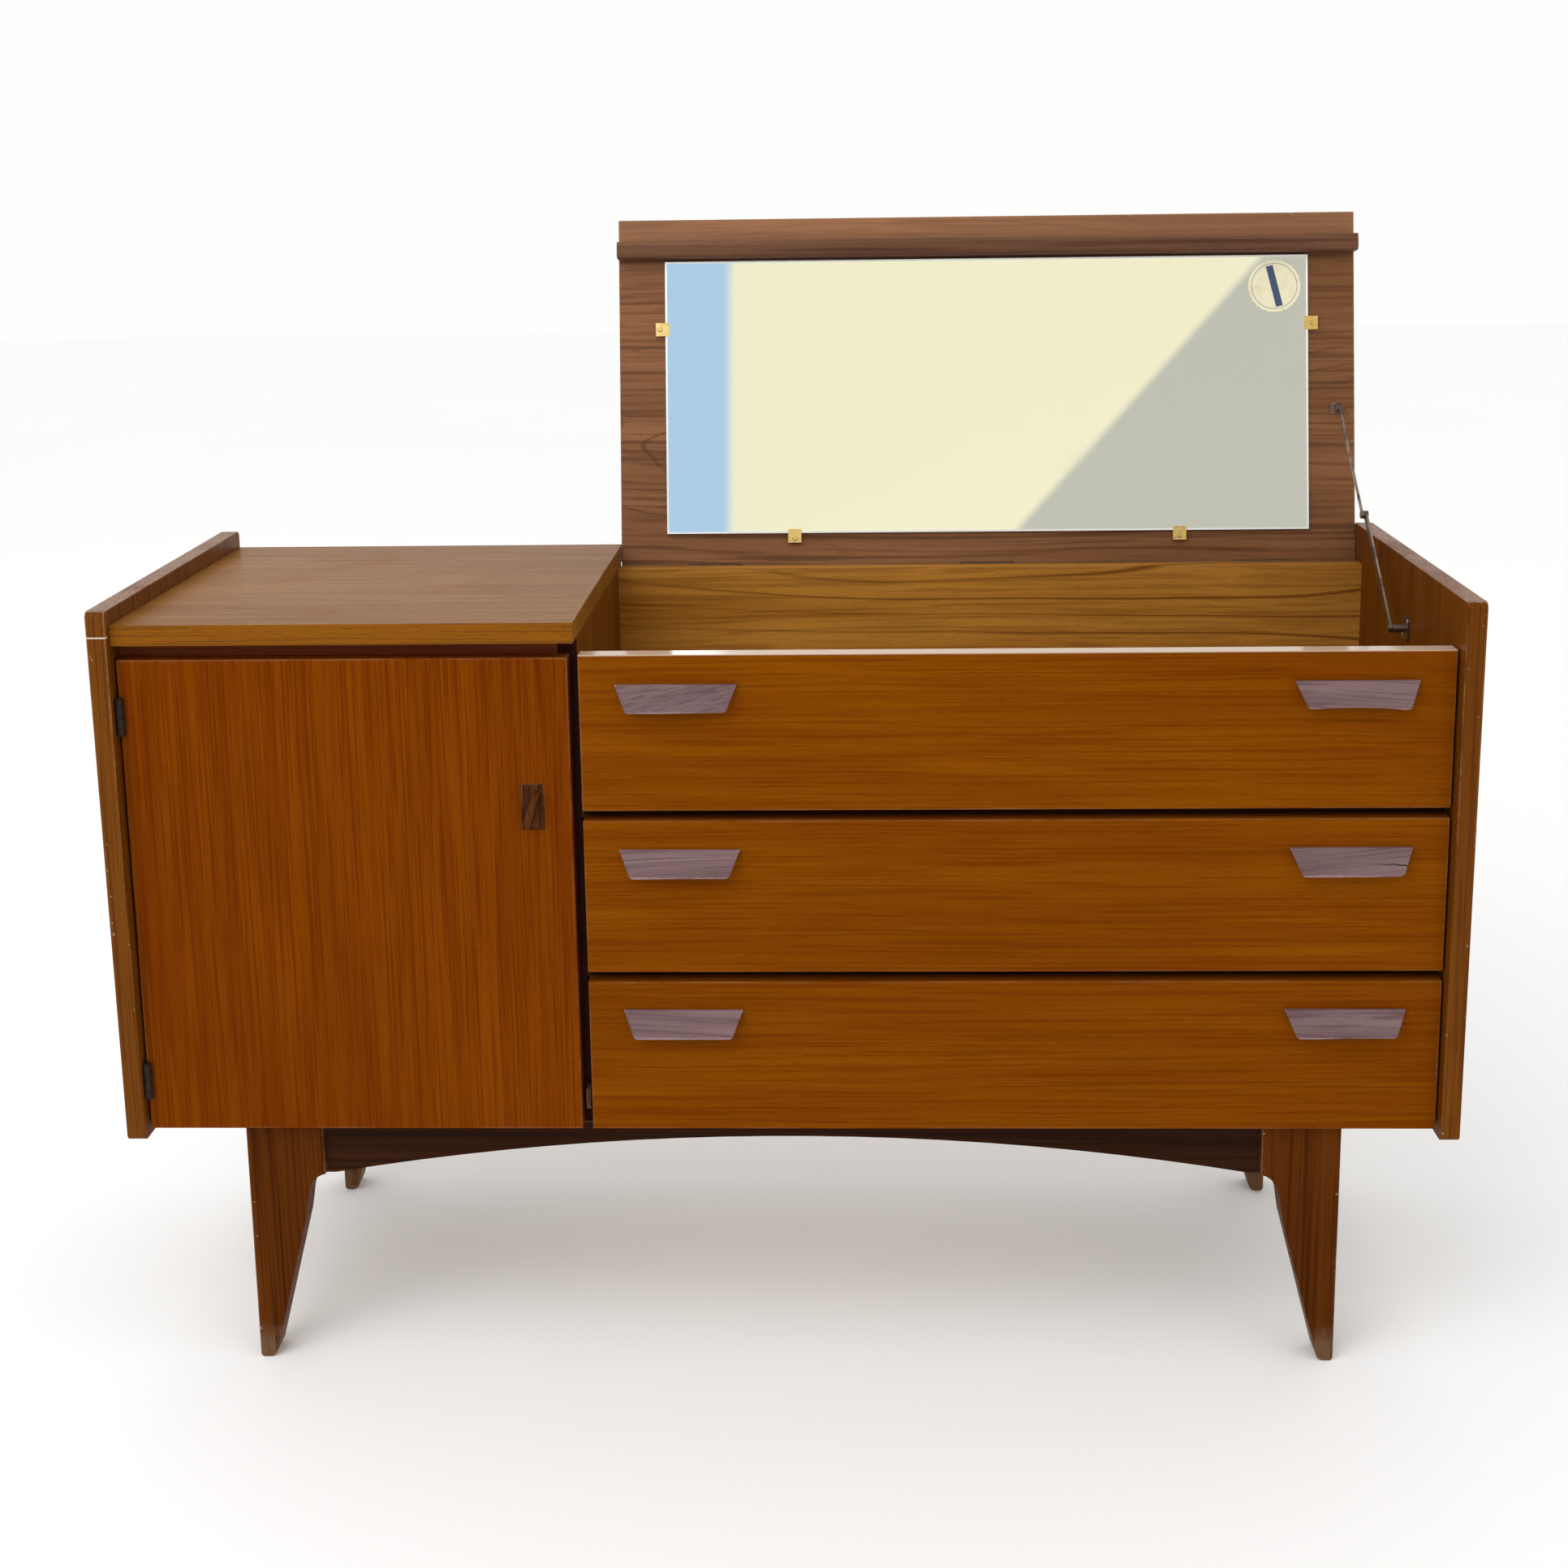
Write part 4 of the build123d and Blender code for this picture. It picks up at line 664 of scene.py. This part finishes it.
def makeScrewTree():
    tree = bpy.data.node_groups.new("screwHeads", "GeometryNodeTree")
    names = [("Geometry", "NodeSocketGeometry", None), ("HeadRadius", "NodeSocketFloat", 0.003),
             ("HeadHeight", "NodeSocketFloat", 0.001), ("SlotWidth", "NodeSocketFloat", 0.0007),
             ("Seed", "NodeSocketInt", headShape["seed"]), ("Finish", "NodeSocketMaterial", None)]
    for label, kind, value in names:
        socket = tree.interface.new_socket(label, in_out="INPUT", socket_type=kind)
        if value is not None:
            socket.default_value = value
    tree.interface.new_socket("Geometry", in_out="OUTPUT", socket_type="NodeSocketGeometry")
    given = put(tree, "NodeGroupInput").outputs
    radius, height, slot = given["HeadRadius"], given["HeadHeight"], given["SlotWidth"]
    head = put(tree, "GeometryNodeMeshCone", {
        "Vertices": headShape["sides"], "Radius Top": calc(tree, "MULTIPLY", radius, headShape["topShare"]),
        "Radius Bottom": radius, "Depth": height}).outputs["Mesh"]
    length = calc(tree, "MULTIPLY", radius, headShape["recessLength"])
    deep = calc(tree, "MULTIPLY", height, headShape["recessDepth"])
    cutUp = put(tree, "ShaderNodeCombineXYZ", {"Z": height}).outputs[0]
    cuts = []
    for x, y in ((length, slot), (slot, length)):
        size = put(tree, "ShaderNodeCombineXYZ", {"X": x, "Y": y, "Z": deep}).outputs[0]
        cube = put(tree, "GeometryNodeMeshCube", {"Size": size}).outputs["Mesh"]
        moved = put(tree, "GeometryNodeTransform", {"Geometry": cube, "Translation": cutUp})
        cuts.append(moved.outputs[0])
    recessed = put(tree, "GeometryNodeMeshBoolean", {"Mesh 1": head}, operation="DIFFERENCE")
    for cut in cuts:
        tree.links.new(cut, recessed.inputs["Mesh 2"])
    facing = put(tree, "GeometryNodeInputNamedAttribute", {"Name": "facing"}, data_type="FLOAT_VECTOR")
    aim = put(tree, "FunctionNodeAlignRotationToVector", {"Vector": facing.outputs["Attribute"]}, axis="Z")
    spin = put(tree, "FunctionNodeRandomValue", {"Seed": given["Seed"]}, data_type="FLOAT")
    for socket in spin.inputs:
        if socket.name == "Max" and socket.type == "VALUE":
            socket.default_value = pi
    spun = next(socket for socket in spin.outputs if socket.type == "VALUE" and socket.enabled)
    turn = put(tree, "ShaderNodeCombineXYZ", {"Z": spun}).outputs[0]
    turned = put(tree, "FunctionNodeRotateRotation", {"Rotation": aim.outputs[0], "Rotate By": turn},
                 rotation_space="LOCAL")
    placed = put(tree, "GeometryNodeInstanceOnPoints", {
        "Points": given["Geometry"], "Instance": recessed.outputs["Mesh"], "Rotation": turned.outputs[0]})
    real = put(tree, "GeometryNodeRealizeInstances", {"Geometry": placed.outputs[0]})
    shown = put(tree, "GeometryNodeSetMaterial", {"Geometry": real.outputs[0], "Material": given["Finish"]})
    out = put(tree, "NodeGroupOutput")
    tree.links.new(shown.outputs[0], out.inputs[0])
    return tree


screwTree = makeScrewTree()


def makeScrewHeads(name, places, radius, height, finish, body, slot, *replaced):
    # places: where each head sits and the way it faces
    points = bpy.data.meshes.new(name + "Points")
    points.from_pydata([place for place, facing in places], [], [])
    facings = points.attributes.new("facing", "FLOAT_VECTOR", "POINT")
    for i, (place, facing) in enumerate(places):
        facings.data[i].vector = facing
    holder = bpy.data.objects.new(name + "Holder", points)
    bpy.context.scene.collection.objects.link(holder)
    modifier = holder.modifiers.new("heads", "NODES")
    modifier.node_group = screwTree
    values = {"HeadRadius": radius, "HeadHeight": height, "SlotWidth": radius * headShape["slotShare"],
              "Seed": headShape["seed"], "Finish": metals[finish]}
    for item in screwTree.interface.items_tree:
        if item.item_type == "SOCKET" and item.in_out == "INPUT" and item.name in values:
            modifier[item.identifier] = values[item.name]
    bpy.context.view_layer.update()
    settled = holder.evaluated_get(bpy.context.evaluated_depsgraph_get())
    mesh = bpy.data.meshes.new_from_object(settled)
    mesh.name = name
    bpy.data.objects.remove(holder)
    return newPiece(name, mesh, metals[finish], body, slot, *replaced)


def lidPoint(x, across, up):
    # back from upright lid coordinates to the leaning lid
    return upright.inverted() @ Vector((x, across, up))


clipScrews = {"radius": 0.0033, "height": 0.0011}  # each head ends level with the solid that it replaces
clipPlaces = []
for low, high in solidBoxes("clip_screws"):
    headAt = lidPoint((low[0] + high[0]) / 2, low[1] + clipScrews["height"], (low[2] + high[2]) / 2)
    clipPlaces.append((headAt, lidOut))
makeScrewHeads("clipScrewHeads", clipPlaces, clipScrews["radius"], clipScrews["height"], "clipBrass", "lid",
               "brass", "clip_screws")

# plain steel screws: along the lid hinge leaves, and two in each foot of the stay
steelScrews = {"radius": 0.0034, "height": 0.0007, "leafInset": 0.010, "footSpread": 0.0085,
               "smallRadius": 0.0018, "smallSpread": 0.0040, "leafFace": 0.0009, "leafUp": 0.009,
               "footThickness": 0.0015}
casePlaces = []
for low, high in solidBoxes("lid_hinge_case_leaves"):
    for share in (0.0, 0.5, 1.0):
        x = low[0] + steelScrews["leafInset"] + share * (high[0] - low[0] - 2 * steelScrews["leafInset"])
        headAt = Vector((x, low[1] + steelScrews["leafFace"], low[2] + steelScrews["leafUp"]))
        casePlaces.append((headAt, Vector((0, 1, 0))))
low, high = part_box("stay_case_bracket")
footMiddle = (low + high) / 2
for out in (-1, 1):
    place = Vector((high.x - steelScrews["footThickness"], footMiddle.y + out * steelScrews["footSpread"],
                    footMiddle.z - out * steelScrews["footSpread"]))
    casePlaces.append((place, Vector((-1, 0, 0))))
makeScrewHeads("caseScrewHeads", casePlaces, steelScrews["radius"], steelScrews["height"], "dullSteel",
               "case", "steel")
(low, high), = solidBoxes("stay_lid_bracket")
stayPlaces = []
for out in (-1, 1):
    up = (low[2] + high[2]) / 2 + out * steelScrews["smallSpread"]
    headAt = lidPoint((low[0] + high[0]) / 2, high[1] - steelScrews["footThickness"], up)
    stayPlaces.append((headAt, lidOut))
makeScrewHeads("staySideScrewHeads", stayPlaces, steelScrews["smallRadius"], steelScrews["height"],
               "dullSteel", "lid", "dark_steel")
print("screw heads made:", len(clipPlaces) + len(casePlaces) + len(stayPlaces))


# blank paper seal stuck on the glass
sealShape = {"fromRight": 0.0400, "fromTop": 0.0375, "radius": 0.0315, "lobes": 26, "lobeDepth": 0.0009,
             "lobePoints": 6, "thickness": 0.00025}
sealLook = {"paper": (0.80, 0.74, 0.52), "ink": (0.035, 0.065, 0.13), "stain": (0.58, 0.46, 0.26),
            "tilt": 104, "bandHalf": 0.0042, "bandLength": 0.0250, "ringAt": 0.86, "ringHalf": 0.0004,
            "ringInk": 0.7}


def sealMesh(centre):
    work = bmesh.new()
    count = sealShape["lobes"] * sealShape["lobePoints"]
    layers = []
    for out in (0.0, sealShape["thickness"]):
        layer = []
        for i in range(count):
            angle = 2 * pi * i / count
            lobe = 1 - abs(sin(sealShape["lobes"] * angle / 2))
            radius = sealShape["radius"] - sealShape["lobeDepth"] * lobe
            spot = lidPoint(centre.x + radius * cos(angle), centre.y - out, centre.z + radius * sin(angle))
            layer.append(work.verts.new(spot))
        layers.append(layer)
    back, front = layers
    work.faces.new(front)
    work.faces.new(list(reversed(back)))
    for i in range(count):
        j = (i + 1) % count
        work.faces.new((back[i], back[j], front[j], front[i]))
    bmesh.ops.recalc_face_normals(work, faces=work.faces)
    mesh = bpy.data.meshes.new("mirrorSeal")
    work.to_mesh(mesh)
    work.free()
    return mesh


def makeSealPaper(centre):
    material, tree, shader, where = startMaterial("sealPaper")
    flat = put(tree, "ShaderNodeMapping", {"Vector": where, "Rotation": (lidLean, 0, 0), "Location": -centre})
    tilt = (0, radians(sealLook["tilt"]), 0)
    level = put(tree, "ShaderNodeMapping", {"Vector": flat.outputs[0], "Rotation": tilt})
    spots = put(tree, "ShaderNodeSeparateXYZ", {0: level.outputs[0]}).outputs
    offX, offZ = calc(tree, "ABSOLUTE", spots["X"]), calc(tree, "ABSOLUTE", spots["Z"])
    inBand = calc(tree, "MULTIPLY", calc(tree, "LESS_THAN", offZ, sealLook["bandHalf"]),
                  calc(tree, "LESS_THAN", offX, sealLook["bandLength"]))
    distance = put(tree, "ShaderNodeVectorMath", {0: flat.outputs[0]}, operation="LENGTH").outputs["Value"]
    offRing = calc(tree, "SUBTRACT", distance, sealShape["radius"] * sealLook["ringAt"])
    ring = calc(tree, "LESS_THAN", calc(tree, "ABSOLUTE", offRing), sealLook["ringHalf"])
    ring = calc(tree, "MULTIPLY", ring, sealLook["ringInk"])
    stain = spread(tree, cloud(tree, where, 60.0, 4.0), 0.45, 0.75, 0.0, 0.35)
    paper = blendColour(tree, stain, fullColour(sealLook["paper"]), fullColour(sealLook["stain"]))
    colour = blendColour(tree, calc(tree, "MAXIMUM", inBand, ring), paper, fullColour(sealLook["ink"]))
    roughness = calc(tree, "MULTIPLY_ADD", stain, 0.3, 0.6)
    finishSurface(tree, shader, colour, roughness, cloud(tree, where, 900.0, 3.0), 0.00005)
    return material


(low, high), = solidBoxes("mirror_glass")
sealCentre = Vector((high[0] - sealShape["fromRight"], low[1], high[2] - sealShape["fromTop"]))
newPiece("mirrorSeal", sealMesh(sealCentre), makeSealPaper(sealCentre), "lid", "mirror")
print("seal made")


# floor, light and camera
studio = {"floorSize": 30.0, "floorTone": (0.975, 0.985), "sky": (0.992, 0.988, 0.982), "skyPower": 1.0,
          "keyPower": 60.0, "keySize": 3.0, "keyPlace": (-1.6, -2.6, 3.4), "keyAim": (0, 0, 0.6)}
# a softly shaded card behind the camera, for the glass to reflect
card = {"low": (-3.2, -5.2, 0.02), "high": (3.2, -5.2, 3.6), "slope": 0.909, "shadeFrom": -0.849,
        "skyFrom": -0.42, "soft": 0.03, "cream": (0.98, 0.93, 0.66), "paleCream": (0.99, 0.96, 0.80),
        "grey": (0.57, 0.57, 0.50), "blue": (0.45, 0.66, 0.90)}


def makeSheet(name, corners, material):
    mesh = bpy.data.meshes.new(name)
    mesh.from_pydata(corners, [], [(0, 1, 2, 3)])
    mesh.materials.append(material)
    sheet = bpy.data.objects.new(name, mesh)
    bpy.context.scene.collection.objects.link(sheet)
    return sheet


def makeFloorPaint():
    material, tree, shader, where = startMaterial("floorPaint")
    tone = spread(tree, cloud(tree, where, 0.6, 2.0), 0.3, 0.7, *studio["floorTone"])
    toneColour = put(tree, "ShaderNodeCombineColor", {"Red": tone, "Green": tone, "Blue": tone}).outputs[0]
    tree.links.new(toneColour, shader.inputs["Base Color"])
    shader.inputs["Roughness"].default_value = 0.9
    shader.inputs["Specular IOR Level"].default_value = 0.1
    return material


def makeCardPaint():
    material, tree, shader, where = startMaterial("cardPaint")
    parts = put(tree, "ShaderNodeSeparateXYZ", {0: where}).outputs
    diagonal = calc(tree, "SUBTRACT", parts["X"], calc(tree, "MULTIPLY", parts["Z"], card["slope"]))
    shade = spread(tree, diagonal, card["shadeFrom"] - card["soft"], card["shadeFrom"] + card["soft"])
    skyFrom, soft = card["skyFrom"], card["soft"]
    leftSky = spread(tree, parts["X"], skyFrom - soft, skyFrom + soft, 1.0, 0.0)
    plaster = spread(tree, cloud(tree, where, 1.3, 5.0, 0.6), 0.35, 0.75, 0.0, 0.25)
    colour = blendColour(tree, plaster, fullColour(card["cream"]), fullColour(card["paleCream"]))
    colour = blendColour(tree, shade, colour, fullColour(card["grey"]))
    colour = blendColour(tree, leftSky, colour, fullColour(card["blue"]))
    tree.links.new(colour, shader.inputs["Base Color"])
    shader.inputs["Roughness"].default_value = 0.9
    return material


half = studio["floorSize"] / 2
floorCorners = [(-half, -half, 0), (half, -half, 0), (half, half, 0), (-half, half, 0)]
floor = makeSheet("studioFloor", floorCorners, makeFloorPaint())
(x0, y, z0), (x1, y, z1) = card["low"], card["high"]
cardCorners = [(x0, y, z1), (x1, y, z1), (x1, y, z0), (x0, y, z0)]  # faces the chest
cardPiece = makeSheet("studioCard", cardCorners, makeCardPaint())
cardPiece.visible_camera = False

world = bpy.data.worlds.new("studioSky")
world.use_nodes = True
background = world.node_tree.nodes["Background"]
background.inputs["Color"].default_value = fullColour(studio["sky"])
background.inputs["Strength"].default_value = studio["skyPower"]
bpy.context.scene.world = world

keyLight = bpy.data.lights.new("keyLight", "AREA")
keyLight.energy = studio["keyPower"]
keyLight.size = studio["keySize"]
key = bpy.data.objects.new("keyLight", keyLight)
key.location = studio["keyPlace"]
key.rotation_euler = (Vector(studio["keyAim"]) - key.location).to_track_quat("-Z", "Y").to_euler()
bpy.context.scene.collection.objects.link(key)

view = {"place": (0.0748, -2.1861, 1.2563), "tiltDown": 10.454, "turnLeft": 1.6875, "roll": 0.756,
        "lens": 45.38, "shift": (-0.00796, -0.15014)}
cameraData = bpy.data.cameras.new("viewCamera")
cameraData.sensor_width = 36.0
cameraData.lens = view["lens"]
cameraData.shift_x, cameraData.shift_y = view["shift"]
cameraData.clip_end = 200.0
camera = bpy.data.objects.new("viewCamera", cameraData)
turned = Matrix.Rotation(radians(view["turnLeft"]), 4, "Z")
tilted = Matrix.Rotation(radians(90 - view["tiltDown"]), 4, "X")
rolled = Matrix.Rotation(radians(-view["roll"]), 4, "Z")
camera.matrix_world = Matrix.Translation(view["place"]) @ turned @ tilted @ rolled
bpy.context.scene.collection.objects.link(camera)
bpy.context.scene.camera = camera
bpy.context.scene.view_settings.view_transform = "Standard"
print("studio ready")
